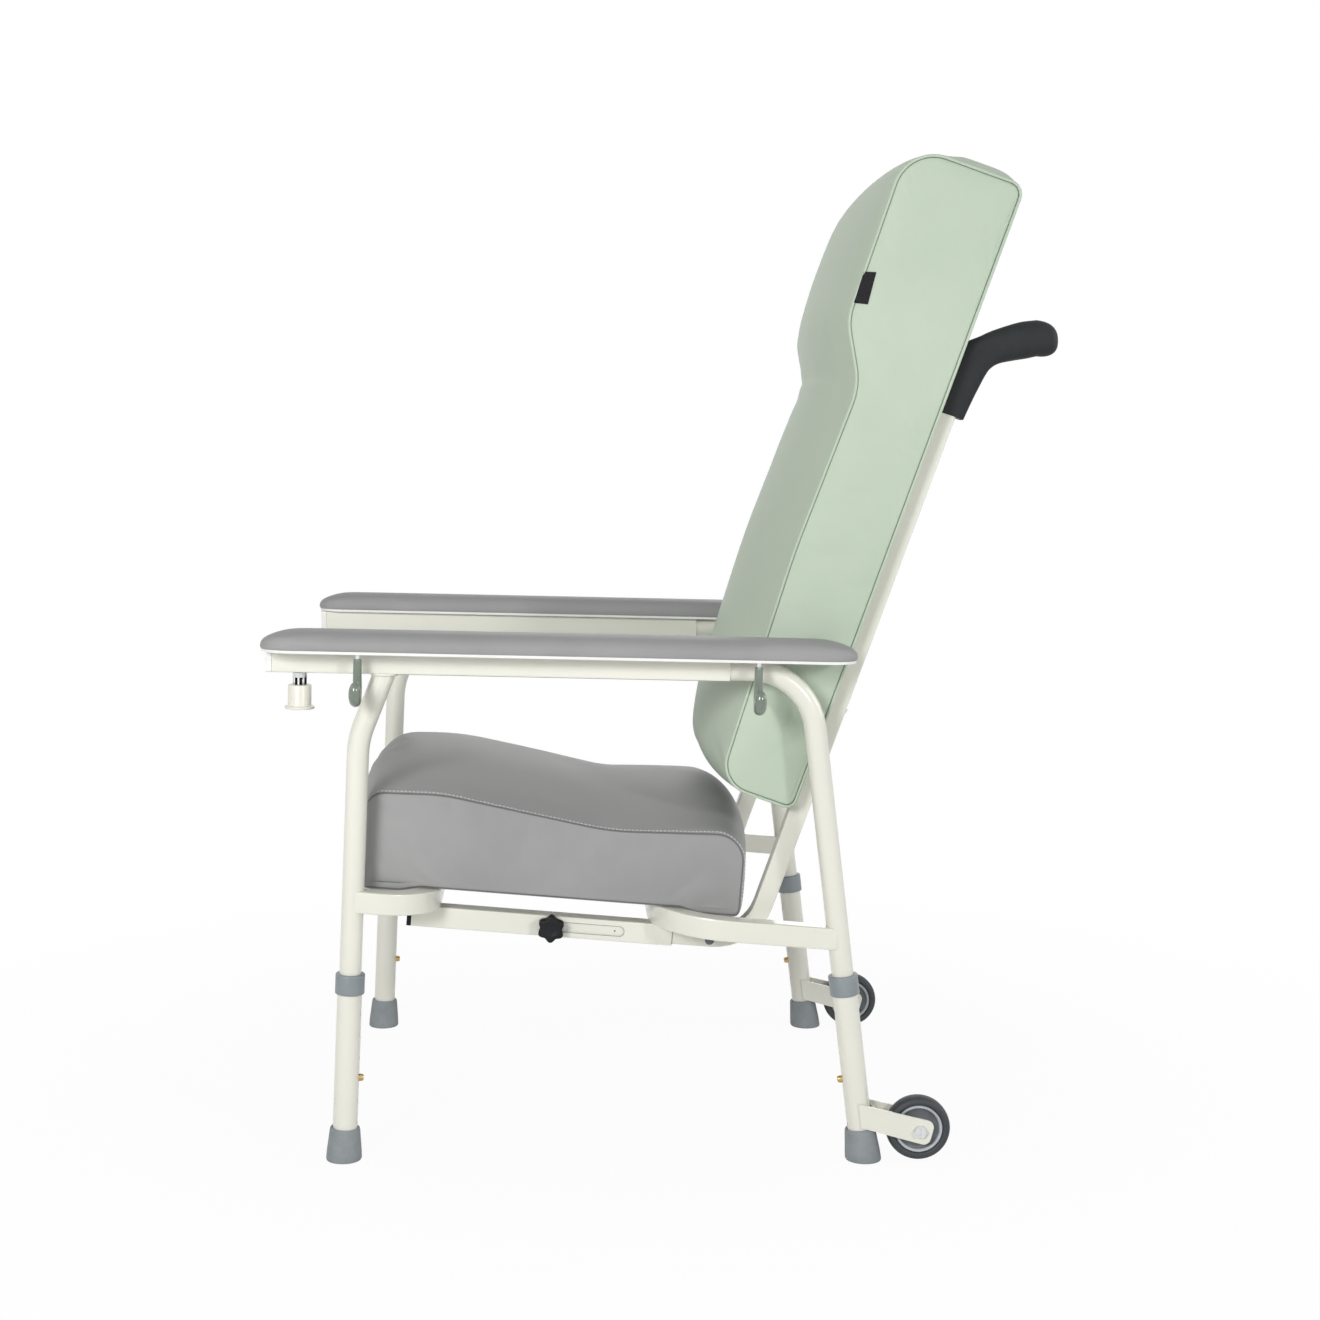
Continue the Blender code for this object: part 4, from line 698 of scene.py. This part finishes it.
cushionLook = {
    # depth from the side, inset from the outline, seam shade
    "rim": [(0.0000, 0.0075, 0.0), (0.0002, 0.0050, 0.0), (0.0007, 0.0036, 0.15), (0.0020, 0.0027, 1.0),
            (0.0021, 0.0021, 1.0), (0.0027, 0.0020, 1.0), (0.0036, 0.0007, 0.15), (0.0050, 0.0002, 0.0),
            (0.0070, 0.0, 0.0)],
    "edgeSteps": [0.0095, 0.0135, 0.020], "across": 14, "arcStep": 3, "sideSwell": 0.0012,
    "swellPowers": (0.6, 0.4), "heldOver": 0.9, "stitchStation": 7,
    "tension": 18, "shear": 0.6, "bending": 2.0, "pressure": 1.6, "slack": 0.002, "cap": 0.006, "fill": 0.85,
}
seatLook = {
    **cushionLook, "half": 0.2500, "along": 132, "sideRows": 16,
    "corners": [(0.0235, 0.0003, 0), (-0.0165, 0.0003, 0.004), (-0.0165, 0.1095, 0.022),
                (0.071, 0.1133, 0.22), (0.268, 0.0862, 0.30), (0.4260, 0.0940, 0.034),
                (0.4260, 0.0003, 0.006), (0.3860, 0.0003, 0)],
    "front": -0.0165, "frontCorner": 0.016, "crown": 0.0150, "endCrown": 0.7,
    "wrapFacing": (0.2, 0.5), "wrapBelow": (0.098, -0.012),  # ramps to where the front has no seam
    "stitched": ((-0.010, 1), (0.004, 1)),  # y and z that have stitches
    "thread": ("thread", 0.00055),  # finish, radius
    "lip": 0.0065,  # hangs inside the arms of the cross frames
    "lipStops": [(0.030, 1.0), (0.055, 0.0), (0.355, 0.0), (0.375, 1.0)],
    "lipSide": (0.232, 0.012), "lipFront": (0.004, -0.012), "lipHeight": (0.016, -0.016),
}


def buildSeat():
    front, half, corner = (seatLook[key] for key in ("front", "half", "frontCorner"))

    def crown(_, normals):
        rise = np.maximum(0, normals[:, 1]) + seatLook["endCrown"] * np.abs(normals[:, 0])
        return seatLook["crown"] * rise

    def sewn(loop, normals):  # the front wraps round without a seam
        return 1 - ramp(-normals[:, 0], *seatLook["wrapFacing"]) * ramp(loop[:, 1], *seatLook["wrapBelow"])

    def shape(points):  # rounds the two upright front corners and lets the lip hang
        into = np.clip(points[:, 1] - front, 0, corner)
        reach = half - corner + np.sqrt(corner**2 - (corner - into) ** 2)
        points[:, 0] *= reach / half
        x, y, z = points.T
        beside = np.maximum(ramp(np.abs(x), *seatLook["lipSide"]), ramp(y, *seatLook["lipFront"]))
        hang = np.interp(y, *zip(*seatLook["lipStops"])) * ramp(z, *seatLook["lipHeight"])
        points[:, 2] -= seatLook["lip"] * beside * hang
        return points

    sewCushion("seatCushion", seatLook, crown, sewn, lambda normals: 0.0, shape,
               "grey", "frame", "seat_cushion", seatSpace)


backLook = {
    **cushionLook, "half": 0.2460, "along": 190, "sideRows": 12,
    "corners": [(0.0009, 0.0685, 0), (0.0009, 0.0185, 0.012), (-0.0905, 0.0185, 0.036),
                (-0.1010, 0.300, 0.8), (-0.0968, 0.4985, 0.078), (-0.1345, 0.5640, 0.065),
                (-0.1375, 0.7695, 0.046), (0.0009, 0.7695, 0.016), (0.0009, 0.7195, 0)],
    "crown": 0.0250, "roll": 0.0015, "topCrown": 0.038, "topFrom": 0.65, "footCrown": 0.009, "footTo": 0.15,
    # height, share of the crown
    "stops": [(0.019, 0.45), (0.109, 1.0), (0.415, 1.0), (0.470, 0.97), (0.500, 0.92), (0.530, 0.70),
              (0.560, 0.54), (0.600, 0.60), (0.640, 0.66), (0.680, 0.58), (0.730, 0.34), (0.770, 0.15)],
    "topStops": [(-0.135, 0.10), (-0.060, 1.0)],  # the top rises towards the rear
    "stitched": ((-1, -0.03), (-1, 0.755)), "thread": ("sageThread", 0.00050),
    "welt": 0.0017, "weltStands": 0.0004, "weltAround": 12,
}


def buildBack():
    def crown(cover, normals):
        y, z = cover.T
        fullness = np.interp(z, *zip(*backLook["stops"]))
        rise = np.interp(y, *zip(*backLook["topStops"]))
        up = backLook["topCrown"] * np.maximum(0, normals[:, 1]) * (z > backLook["topFrom"]) * rise
        down = backLook["footCrown"] * np.maximum(0, -normals[:, 1]) * (z < backLook["footTo"])
        return backLook["crown"] * np.maximum(0, -normals[:, 0]) * fullness + up + down

    def roll(normals):
        return backLook["roll"] * np.maximum(0, normals[:, 0])

    loop, normals = sewCushion("backCushion", backLook, crown, lambda loop, _: np.ones(len(loop)), roll,
                               lambda points: points, "sage", "back", "back_cushion", backSpace)
    points, faces = [], []
    radius = backLook["welt"]
    stands = 2 * backLook["weltStands"] - radius
    line = loop + normals * (roll(normals) + stands)[:, None]
    for side in sides.values():  # the welt that closes each side panel
        path = [(side * (backLook["half"] + stands), y, z) for y, z in line]
        rings = sweptRings(path, [radius] * len(path), backLook["weltAround"], True)
        addMesh(points, faces, loft(rings, closedRow=True))
    meshPiece("backWelt", points, faces, "sage", "back", (), "sage_vinyl", backSpace)


padLook = {
    "middle": 0.295, "half": 0.0405, "front": -0.0046, "rear": 0.6630, "endRadius": 0.034, "base": 0.0278,
    "wall": 0.0142, "height": 0.0210, "taper": 0.045, "taperDrop": 0.28, "around": 240, "arcStep": 8,
    # inset, share of the wall
    "section": [(0.0060, 0.000), (0.0026, 0.0006), (0.0008, 0.12), (0.0000, 0.30), (0.0001, 0.55),
                (0.0008, 0.78), (0.0022, 0.95)],
    "crownSteps": [0.10, 0.25, 0.40, 0.55, 0.70, 0.82, 0.91, 0.97], "crownInset": 0.0032, "crownReach": 0.90,
    "tension": 16, "shear": 0.6, "bending": 1.0, "pressure": 2.0, "slack": 0.004, "cap": 0.0016, "fill": 0.9,
}


def buildArmPad(sideName, side):
    half, front, rear, radius = (padLook[key] for key in ("half", "front", "rear", "endRadius"))
    middle = padLook["middle"] - sideX
    corners = [(middle, front, 0), (middle + half, front, radius), (middle + half, rear, radius)]
    corners += [(middle - half, rear, radius), (middle - half, front, radius)]
    outline = roundedLine(corners, True, padLook["arcStep"])
    plan = evenly(outline + outline[:1], padLook["around"] + 1)[:-1]
    normals = outwardNormals(plan)

    def ring(inset, rise):
        spots = plan - normals * inset
        near = np.minimum(spots[:, 1] - front, rear - spots[:, 1])
        drop = padLook["taperDrop"] * ramp(near, padLook["taper"], -padLook["taper"]) ** 2
        return [(side * x, y, padLook["base"] + rise * (1 - d)) for (x, y), d in zip(spots, drop)]

    rings = [ring(inset, padLook["wall"] * share) for inset, share in padLook["section"]]
    for share in padLook["crownSteps"]:
        inset = padLook["crownInset"] + half * padLook["crownReach"] * (1 - math.sqrt(1 - share**2))
        rings.append(ring(inset, padLook["wall"] + (padLook["height"] - padLook["wall"]) * share))
    points, faces = loft(rings, caps=False)
    count = len(plan)
    for first in (0, (len(rings) - 1) * count):  # strips from side to side close the base and the crest
        for i in range(count // 2):
            quad = [i, i + 1, count - i - 1, (count - i) % count]
            faces.append(tuple(first + v for n, v in enumerate(quad) if v != quad[n - 1]))
    points = [armSpace(side) @ Vector(p) for p in points]
    piece = meshPiece("armPad_" + sideName, points, faces, "grey", "frame", ("arm_pad_" + sideName,),
                      "grey_vinyl")
    held = np.zeros(len(points))
    held[:2 * count] = 1
    inflate(piece, held, padLook)
    refine(piece)


buildSeat()
print("seat cushion sewn")
buildBack()
print("back cushion sewn")
for sideName, side in sides.items():
    buildArmPad(sideName, side)
print("arm pads covered")


# fittings

footLook = {  # radius, height
    "sole": [(0.0184, 0.0000), (0.0199, 0.0005), (0.0206, 0.0022)],  # these follow the floor
    "wall": [(0.0202, 0.0100), (0.0177, 0.0345), (0.0172, 0.0374), (0.0164, 0.0384), (0.0152, 0.0385),
             (0.0146, 0.0380), (0.0146, 0.0104)],
}
collarLook = [(0.0146, 0.1962), (0.0162, 0.1962), (0.0167, 0.1965), (0.0169, 0.1971), (0.0169, 0.2179),
              (0.0166, 0.2189), (0.0160, 0.2194), (0.0152, 0.2195), (0.0131, 0.2195), (0.0129, 0.2192),
              (0.0129, 0.2178), (0.0146, 0.2178)]


def buildLegEnd(end, sideName, side):
    space = legSpace(end, side)
    leg = end + "_" + sideName
    body = "lower_leg_" + leg
    rings = turnedRings(footLook["sole"] + footLook["wall"])
    slope = space[2][1] / space[2][2]
    for k in range(len(footLook["sole"])):
        rings[k] = [(x, y, z - y * slope) for x, y, z in rings[k]]
    meshPiece("foot_" + leg + "_rubber", *loft(rings), "ferrule", body, ("foot_" + leg,),
              "ferrule_grey", space)
    turnedPiece("collar_" + leg + "_moulding", collarLook, space, "collar", body, ("collar_" + leg,),
                "collar_grey", closed=True, sharp=50)


wheelLook = {
    "y": 0.29586, "z": 0.0385,
    "tyre": [(0.0274, -0.0080), (0.0282, -0.0098), (0.0300, -0.0108), (0.0320, -0.0108), (0.0343, -0.0098),
             (0.0359, -0.0078), (0.0367, -0.0050), (0.0370, -0.0018)],
    "hub": [(0.0043, -0.0095), (0.0082, -0.0095), (0.0090, -0.0089), (0.0096, -0.0066), (0.0110, -0.0056),
            (0.0207, -0.0054), (0.0227, -0.0062), (0.0242, -0.0074)],
    "rim": [(0.0238, -0.0070), (0.0243, -0.0086), (0.0252, -0.0092), (0.0266, -0.0092), (0.0273, -0.0086),
            (0.0274, -0.0070)],
}


def mirrored(profile):
    return profile + [(radius, -height) for radius, height in profile[::-1]]


def buildWheel(sideName, side):
    turn = Matrix.Rotation(math.radians(90), 4, "Y")
    space = Matrix.Translation((side * sideX, wheelLook["y"], wheelLook["z"])) @ turn
    rings = (("wheelTyre_", "tyre", ("tyre_" + sideName,), "tyre_black", 72),
             ("wheelDisc_", "hub", ("hub_" + sideName,), "hub_grey", 64),
             ("wheelRim_", "rim", (), "hub_grey", 64))
    for name, part, stands, slot, count in rings:
        profile = mirrored(wheelLook[part])
        turnedPiece(name + sideName, profile, space, part, "wheel_" + sideName, stands, slot, True, count)


lockLook = {
    "along": 0.0374,
    "washer": [(0.0044, -0.0003), (0.0078, -0.0003), (0.0082, -0.0007), (0.0082, -0.0056),
               (0.0079, -0.0060), (0.0044, -0.0060)],
    "barrel": [(0.0043, -0.0052), (0.0079, -0.0052), (0.0079, -0.0136), (0.0075, -0.0141), (0.0043, -0.0141)],
    "pin": [(0.0004, 0.0090), (0.0032, 0.0088), (0.0040, 0.0078), (0.0040, -0.0150), (0.0004, -0.0150)],
    "knob": [(0.0030, -0.0144), (0.0121, -0.0144), (0.0130, -0.0147), (0.0133, -0.0156), (0.0133, -0.0370),
             (0.0136, -0.0379), (0.0145, -0.0384), (0.0161, -0.0387), (0.0168, -0.0391), (0.0170, -0.0398),
             (0.0168, -0.0408), (0.0162, -0.0416), (0.0150, -0.0419), (0.0110, -0.0419), (0.0102, -0.0413),
             (0.0030, -0.0413)],
}


def buildTrayLock(sideName, side):
    space = armSpace(side) @ Matrix.Translation((0, lockLook["along"], 0))
    plunger = "plunger_" + sideName
    rings = (("lockWasher_", "washer", "steel", "frame", (), "bright_steel", True),
             ("lockBarrel_", "barrel", "chrome", "frame", ("plunger_housing_" + sideName,), "bright_steel",
              True),
             ("lockKnob_", "knob", "cream", plunger, ("tray_" + plunger,), "cream_plastic", False),
             ("lockPin_", "pin", "steel", plunger, (), "bright_steel", False))
    for name, part, finish, body, stands, slot, closed in rings:
        turnedPiece(name + sideName, lockLook[part], space, finish, body, stands, slot, closed)


hookLook = {
    "along": {"front": 0.1055, "rear": 0.5517}, "side": 0.035, "under": 0.0257,
    "steps": 4, "around": 24, "least": 0.0006,
    "pin": [(0.0004, -0.0003), (0.0026, -0.0003), (0.0028, -0.0005), (0.0028, -0.0085), (0.0004, -0.0085)],
    # outward, up, radius
    "line": [(0, -0.0061, 0.0008), (0, -0.0063, 0.0038), (0, -0.0075, 0.0047), (0, -0.012, 0.0048),
             (0, -0.024, 0.0049), (0, -0.034, 0.0051), (0.0010, -0.0408, 0.0053), (0.0043, -0.0470, 0.0056),
             (0.0100, -0.0512, 0.0060), (0.0170, -0.0520, 0.0064), (0.0232, -0.0500, 0.0068),
             (0.0268, -0.0460, 0.0071), (0.0282, -0.0412, 0.0070), (0.0285, -0.0365, 0.0063),
             (0.0285, -0.0328, 0.0049), (0.0285, -0.0304, 0.0030), (0.0285, -0.0294, 0.0008)],
}


def buildHook(spot, sideName, side):
    hangs = (side * hookLook["side"], hookLook["along"][spot], hookLook["under"])
    space = armSpace(side) @ Matrix.Translation(hangs)
    line = smoothPath(hookLook["line"], hookLook["steps"])
    radii = [max(hookLook["least"], radius) for *_, radius in line]
    rings = sweptRings([(side * x, 0, z) for x, z, _ in line], radii, hookLook["around"])
    body = "hook_" + spot + "_" + sideName
    meshPiece(body + "_moulding", *loft(rings), "hook", body, (body,), "hook_grey", space)
    turnedPiece(body + "_pin", hookLook["pin"], space, "steel", body, (), "bright_steel", count=24)


knobLook = {
    "at": (0.21, 0.2089, -0.0385), "lobes": 6, "radius": 0.0146, "wave": 0.0016,
    "waveFrom": 0.5, "waveOver": 0.3, "around": 96,
    "boss": [(0.0030, 0.0131), (0.0080, 0.0131), (0.0085, 0.0134), (0.0085, 0.0175), (0.0030, 0.0175)],
    "screw": [(0.0004, 0.0020), (0.0036, 0.0020), (0.0040, 0.0024), (0.0040, 0.0140), (0.0004, 0.0140)],
    # share of the radius, height
    "body": [(0.50, 0.0171), (0.84, 0.0171), (0.94, 0.0175), (0.99, 0.0184), (1.0, 0.0200), (1.0, 0.0278),
             (0.985, 0.0292), (0.94, 0.0301), (0.85, 0.0306), (0.52, 0.0306), (0.47, 0.0302), (0.20, 0.0301)],
}


def buildStarKnob(sideName, side):
    space = outwardSpace(seatSpace, knobLook["at"], side)
    rings = []
    for share, height in knobLook["body"]:
        wave = knobLook["wave"] * min(1.0, max(0.0, (share - knobLook["waveFrom"]) / knobLook["waveOver"]))
        ring = []
        for k in range(knobLook["around"]):
            t = 2 * math.pi * k / knobLook["around"]
            radius = share * (knobLook["radius"] + wave * math.cos(knobLook["lobes"] * t))
            ring.append((radius * math.cos(t), radius * math.sin(t), height))
        rings.append(ring)
    body = "knob_" + sideName
    meshPiece("starKnob_" + sideName, *loft(rings), "black", body, ("star_" + body,), "black_plastic", space)
    turnedPiece("starKnobBoss_" + sideName, knobLook["boss"], space, "black", body, (), "black_plastic",
                count=40)
    turnedPiece("starKnobScrew_" + sideName, knobLook["screw"], space, "steel", body, (), "bright_steel",
                count=24)


def roundedTurns(count, power):  # a ring between a circle, power 2, and a square, for greater powers
    for c, s in turns(count, 0.5):
        scale = 1 / (abs(c) ** power + abs(s) ** power) ** (1 / power)
        yield scale * c, scale * s


sleeveLook = {
    "x": 0.21, "z": -0.0385, "line": 0.00035, "lineAround": 8, "around": 48,
    "slot": (0.2089, 0.2889), "slotHalf": 0.006, "face": 0.01255,
    "mouth": 0.3514, "mouthHalf": 0.0116, "mouthPower": 8,
    "pinAt": (0.221, 0.2837, -0.0385),
    "pin": [(0.0002, -0.0003), (0.0011, -0.0003), (0.0011, 0.0001), (0.0002, 0.0002)],
}


def buildSleeveShadowsAndPin(sideName, side):  # painted shadow lines round the slot edge and in the gap at the rear mouth, and the pin seen in the slot
    space = seatSpace @ Matrix.Translation((side * sleeveLook["x"], 0, sleeveLook["z"]))
    half, mouthHalf, count = sleeveLook["slotHalf"], sleeveLook["mouthHalf"], sleeveLook["around"]
    face, ends = side * sleeveLook["face"], sleeveLook["slot"]
    slot = [(face, ends[c > 0] + half * c, half * s) for c, s in turns(count, 0.5)]
    square = roundedTurns(count, sleeveLook["mouthPower"])
    mouth = [(mouthHalf * x, sleeveLook["mouth"], mouthHalf * z) for x, z in square]
    # dark rings painted where the slot edge and the mouth gap fall into shadow
    for name, path, finish in (("slotShadowLine_", slot, "ferrule"), ("sleeveGapShadow_", mouth, "hub")):
        rings = sweptRings(path, [sleeveLook["line"]] * count, sleeveLook["lineAround"], True)
        meshPiece(name + sideName, *loft(rings, closedRow=True), finish, "frame", (), "ivory_steel", space)
    outward = outwardSpace(seatSpace, sleeveLook["pinAt"], side)
    turnedPiece("tubePin_" + sideName, sleeveLook["pin"], outward, "hub", "back", (), "ivory_steel", count=16)


gripLook = {
    "x": 0.21, "wall": 0.0129, "width": 0.0165, "square": 5.0, "oval": 2.6, "noseOval": 2.5,
    "steps": 4, "around": 48,
    # outer and inner line of the bend
    "pairs": [((0.0004, 0.5050), (0.0341, 0.5050)), ((0.0004, 0.5283), (0.0360, 0.5283)),
              ((0.0004, 0.5471), (0.0380, 0.5460)), ((0.0008, 0.5680), (0.0396, 0.5580)),
              ((0.0034, 0.5845), (0.0416, 0.5668)), ((0.0112, 0.5935), (0.0452, 0.5733)),
              ((0.0190, 0.6002), (0.0504, 0.5785)), ((0.0285, 0.6095), (0.0580, 0.5834)),
              ((0.0415, 0.6200), (0.0680, 0.5890)), ((0.0570, 0.6310), (0.0790, 0.5950)),
              ((0.0731, 0.6390), (0.0882, 0.6008))],
    "tip": (0.1048, 0.6256), "noseSteps": (0.2, 0.38, 0.54, 0.68, 0.79, 0.88, 0.94, 0.98, 0.998),
    "mouth": 0.0006, "mouthSize": 0.97,  # the edge at the open end
}


def buildGrip(sideName, side):
    line = smoothPath([outer + inner for outer, inner in gripLook["pairs"]], gripLook["steps"])
    first, last = line[0], line[-1]
    stops = [(first - (0, gripLook["mouth"], 0, gripLook["mouth"]), 0.0, gripLook["mouthSize"])]
    stops += [(spot, k / (len(line) - 1), 1.0) for k, spot in enumerate(line)]
    reach = np.array(gripLook["tip"]) - (last[:2] + last[2:]) / 2
    for t in gripLook["noseSteps"]:  # the rounded nose
        size = (1 - t ** gripLook["noseOval"]) ** (1 / gripLook["noseOval"])
        stops.append((last + np.tile(reach * t, 2), 1.0, size))
    rings = []
    for spot, share, size in stops:
        mix = share * share * (3 - 2 * share)
        middle, over = (spot[:2] + spot[2:]) / 2, (spot[:2] - spot[2:]) / 2
        width = gripLook["wall"] + (gripLook["width"] - gripLook["wall"]) * mix
        power = gripLook["square"] + (gripLook["oval"] - gripLook["square"]) * mix
        rings.append([(side * gripLook["x"] + size * c * width, *(middle + over * (size * s)))
                      for c, s in roundedTurns(gripLook["around"], power)])
    meshPiece("grip_" + sideName, *loft(rings), "gripFoam", "back", ("back_grip_" + sideName,),
              "black_plastic", backSpace, 50)


tabLook = {
    "corners": [(-0.1338, 0.5836), (-0.1352, 0.6198), (-0.1218, 0.6237), (-0.1185, 0.5869)],
    "rows": 8, "thick": 0.0011, "edge": 0.7, "sink": 0.0012,
    "least": 0.2448, "from": 0.40,  # x of its innermost place, x it is laid on from
}


def buildTab(cushion):  # blank woven tab sewn to the back's side by the seam
    mesh = cushion.data
    skin = BVHTree.FromPolygons([v.co for v in mesh.vertices], [p.vertices[:] for p in mesh.polygons])
    toBack, inward = backSpace.inverted(), backSpace.to_3x3() @ Vector((-1, 0, 0))
    a, b, c, d = [Vector(p) for p in tabLook["corners"]]
    rows, sink = tabLook["rows"], tabLook["sink"]
    row = rows + 1
    lower, upper = [], []
    for i in range(row):
        for k in range(row):
            u = i / rows
            y, z = a.lerp(d, u).lerp(b.lerp(c, u), k / rows)
            hit = skin.ray_cast(backSpace @ Vector((tabLook["from"], y, z)), inward)[0]
            x = max((toBack @ hit).x if hit else 0, tabLook["least"]) + sink * (1 - u)
            atEdge = i in (0, rows) or k in (0, rows)
            lower.append((x - sink, y, z))
            upper.append((x + tabLook["thick"] * (tabLook["edge"] if atEdge else 1), y, z))
    size = len(lower)
    faces = []
    for i in range(rows):
        for k in range(rows):
            q = i * row + k
            quad = (q, q + 1, q + row + 1, q + row)
            faces += [quad, tuple(v + size for v in (q, *quad[:0:-1]))]
    rim = list(range(row)) + [i * row + rows for i in range(1, row)]
    rim += [rows * row + k for k in range(rows - 1, -1, -1)] + [i * row for i in range(rows - 1, 0, -1)]
    faces += [(p, q, q + size, p + size) for p, q in zip(rim, rim[1:] + rim[:1])]
    meshPiece("backTab", lower + upper, faces, "tab", "back", (), "sage_vinyl", backSpace)


trimLook = {
    "weld": 0.0019, "scallop": 0.16, "ripple": 2.4, "weldAround": 10, "tube": 0.0127, "stands": 1.02,
    "legMeets": (-0.3149, 0.5643), "legStretch": 1.07, "legSink": 0.0003, "legTilt": 0.02, "legSteps": 72,
    "railEnd": 0.5217, "railSteps": 60, "railFrom": 150, "railSweep": 240, "railSize": 0.45,
    "screwAt": (0.221, 0.3954, -0.0410), "boltAt": (0.21, 0.0243, 0.1457),
    "head": [(0.0004, -0.0012), (0.0052, -0.0012), (0.0054, 0.0002), (0.0050, 0.0012), (0.0040, 0.0020),
             (0.0022, 0.0025), (0.0004, 0.0026)],
}


def weldBead(name, path, closed, size=1.0):  # stacked ripples of a run of weld
    waves = [1 + trimLook["scallop"] * math.sin(trimLook["ripple"] * k) for k in range(len(path))]
    radii = [size * trimLook["weld"] * wave for wave in waves]
    rings = sweptRings(path, radii, trimLook["weldAround"], closed)
    meshPiece(name, *loft(rings, closedRow=closed), "ivory", "frame", (), "ivory_steel")


def buildTrim(sideName, side):
    tube, head = trimLook["tube"] * trimLook["stands"], trimLook["head"]
    stretch, tilt = tube * trimLook["legStretch"], tube * trimLook["legTilt"]
    y, z = trimLook["legMeets"]
    z -= trimLook["legSink"]
    ring = [(side * sideX + tube * c, y + stretch * s, z - tilt * s) for c, s in turns(trimLook["legSteps"])]
    weldBead("weldFront_" + sideName, ring, True)
    y, z = trimLook["railEnd"], trimLook["tube"]
    angles = np.radians(trimLook["railFrom"] + np.linspace(0, trimLook["railSweep"], trimLook["railSteps"]))
    arc = [armSpace(side) @ Vector((tube * math.cos(t), y, z + tube * math.sin(t))) for t in angles]
    weldBead("weldRear_" + sideName, arc, False, trimLook["railSize"])
    outward = outwardSpace(seatSpace, trimLook["screwAt"], side)
    turnedPiece("tubeScrew_" + sideName, head, outward, "hub", "back", (), "bright_steel", count=32)
    x, y, z = trimLook["boltAt"]
    rearward = backSpace @ Matrix.Translation((side * x, y, z)) @ Matrix.Rotation(math.radians(-90), 4, "X")
    turnedPiece("backBolt_" + sideName, head, rearward, "steel", "back", (), "bright_steel", count=32)


for sideName, side in sides.items():
    for end in legFeet:
        buildLegEnd(end, sideName, side)
    buildWheel(sideName, side)
    buildTrayLock(sideName, side)
    for spot in hookLook["along"]:
        buildHook(spot, sideName, side)
    buildStarKnob(sideName, side)
    buildSleeveShadowsAndPin(sideName, side)
    buildGrip(sideName, side)
buildTab(bpy.data.objects["backCushion"])
for sideName, side in sides.items():
    buildTrim(sideName, side)
print("fittings made")


# the CAD's own pieces: node names start with these

cadFinishes = {
    "ivory": ("arm_rail", "front_leg_tube", "rear_leg_tube", "leg_", "slide_sleeve", "back_tube",
              "wheel_bracket", "front_cross_frame", "rear_cross_frame"),
    "white": ("rail_bush", "arm_board"),
    "collar": ("collar_",),
    "ferrule": ("foot_",),
    "hook": ("hook_",),
    "black": ("sleeve_cap", "star_knob"),
    "gripFoam": ("back_grip",),
    "tyre": ("tyre",),
    "hub": ("hub",),
    "steel": ("axle_bolt", "plunger_housing"),
    "cream": ("tray_plunger",),
    "brass": ("snap_button",),
    "plywood": ("seat_board", "back_board"),
    "sage": ("back_cushion",),
    "grey": ("seat_cushion", "arm_pad"),
}
shadingLook = {"merge": 0.00001, "sharp": 40}


def roundedShading():  # welds the facets so that bends and tubes shade as curves
    group = bpy.data.node_groups.new("roundedShading", "GeometryNodeTree")
    for way in ("INPUT", "OUTPUT"):
        group.interface.new_socket("Geometry", in_out=way, socket_type="NodeSocketGeometry")
    kinds = ("NodeGroupInput", "GeometryNodeMergeByDistance", "GeometryNodeSetMeshNormal", "NodeGroupOutput")
    start, merge, normals, end = (group.nodes.new(kind) for kind in kinds)
    edge, sharp = group.nodes.new("GeometryNodeInputMeshEdgeAngle"), group.nodes.new("FunctionNodeCompare")
    merge.inputs["Distance"].default_value = shadingLook["merge"]
    normals.inputs["Remove Custom"].default_value = True
    sharp.operation = "GREATER_THAN"
    sharp.inputs["B"].default_value = math.radians(shadingLook["sharp"])
    group.links.new(edge.outputs["Unsigned Angle"], sharp.inputs["A"])
    group.links.new(sharp.outputs["Result"], normals.inputs["Edge Sharpness"])
    for a, b in ((start, merge), (merge, normals), (normals, end)):
        group.links.new(a.outputs[0], b.inputs[0])
    return group


def dressFrame():
    rounded = roundedShading()
    for name, node in nodes.items():
        node.modifiers.new("rounded", "NODES").node_group = rounded
        node.modifiers.new("evenNormals", "WEIGHTED_NORMAL").keep_sharp = True
        for finish, starts in cadFinishes.items():
            if name.startswith(starts):
                node.data.materials.clear()
                node.data.materials.append(finishes[finish])


dressFrame()
print("frame dressed")
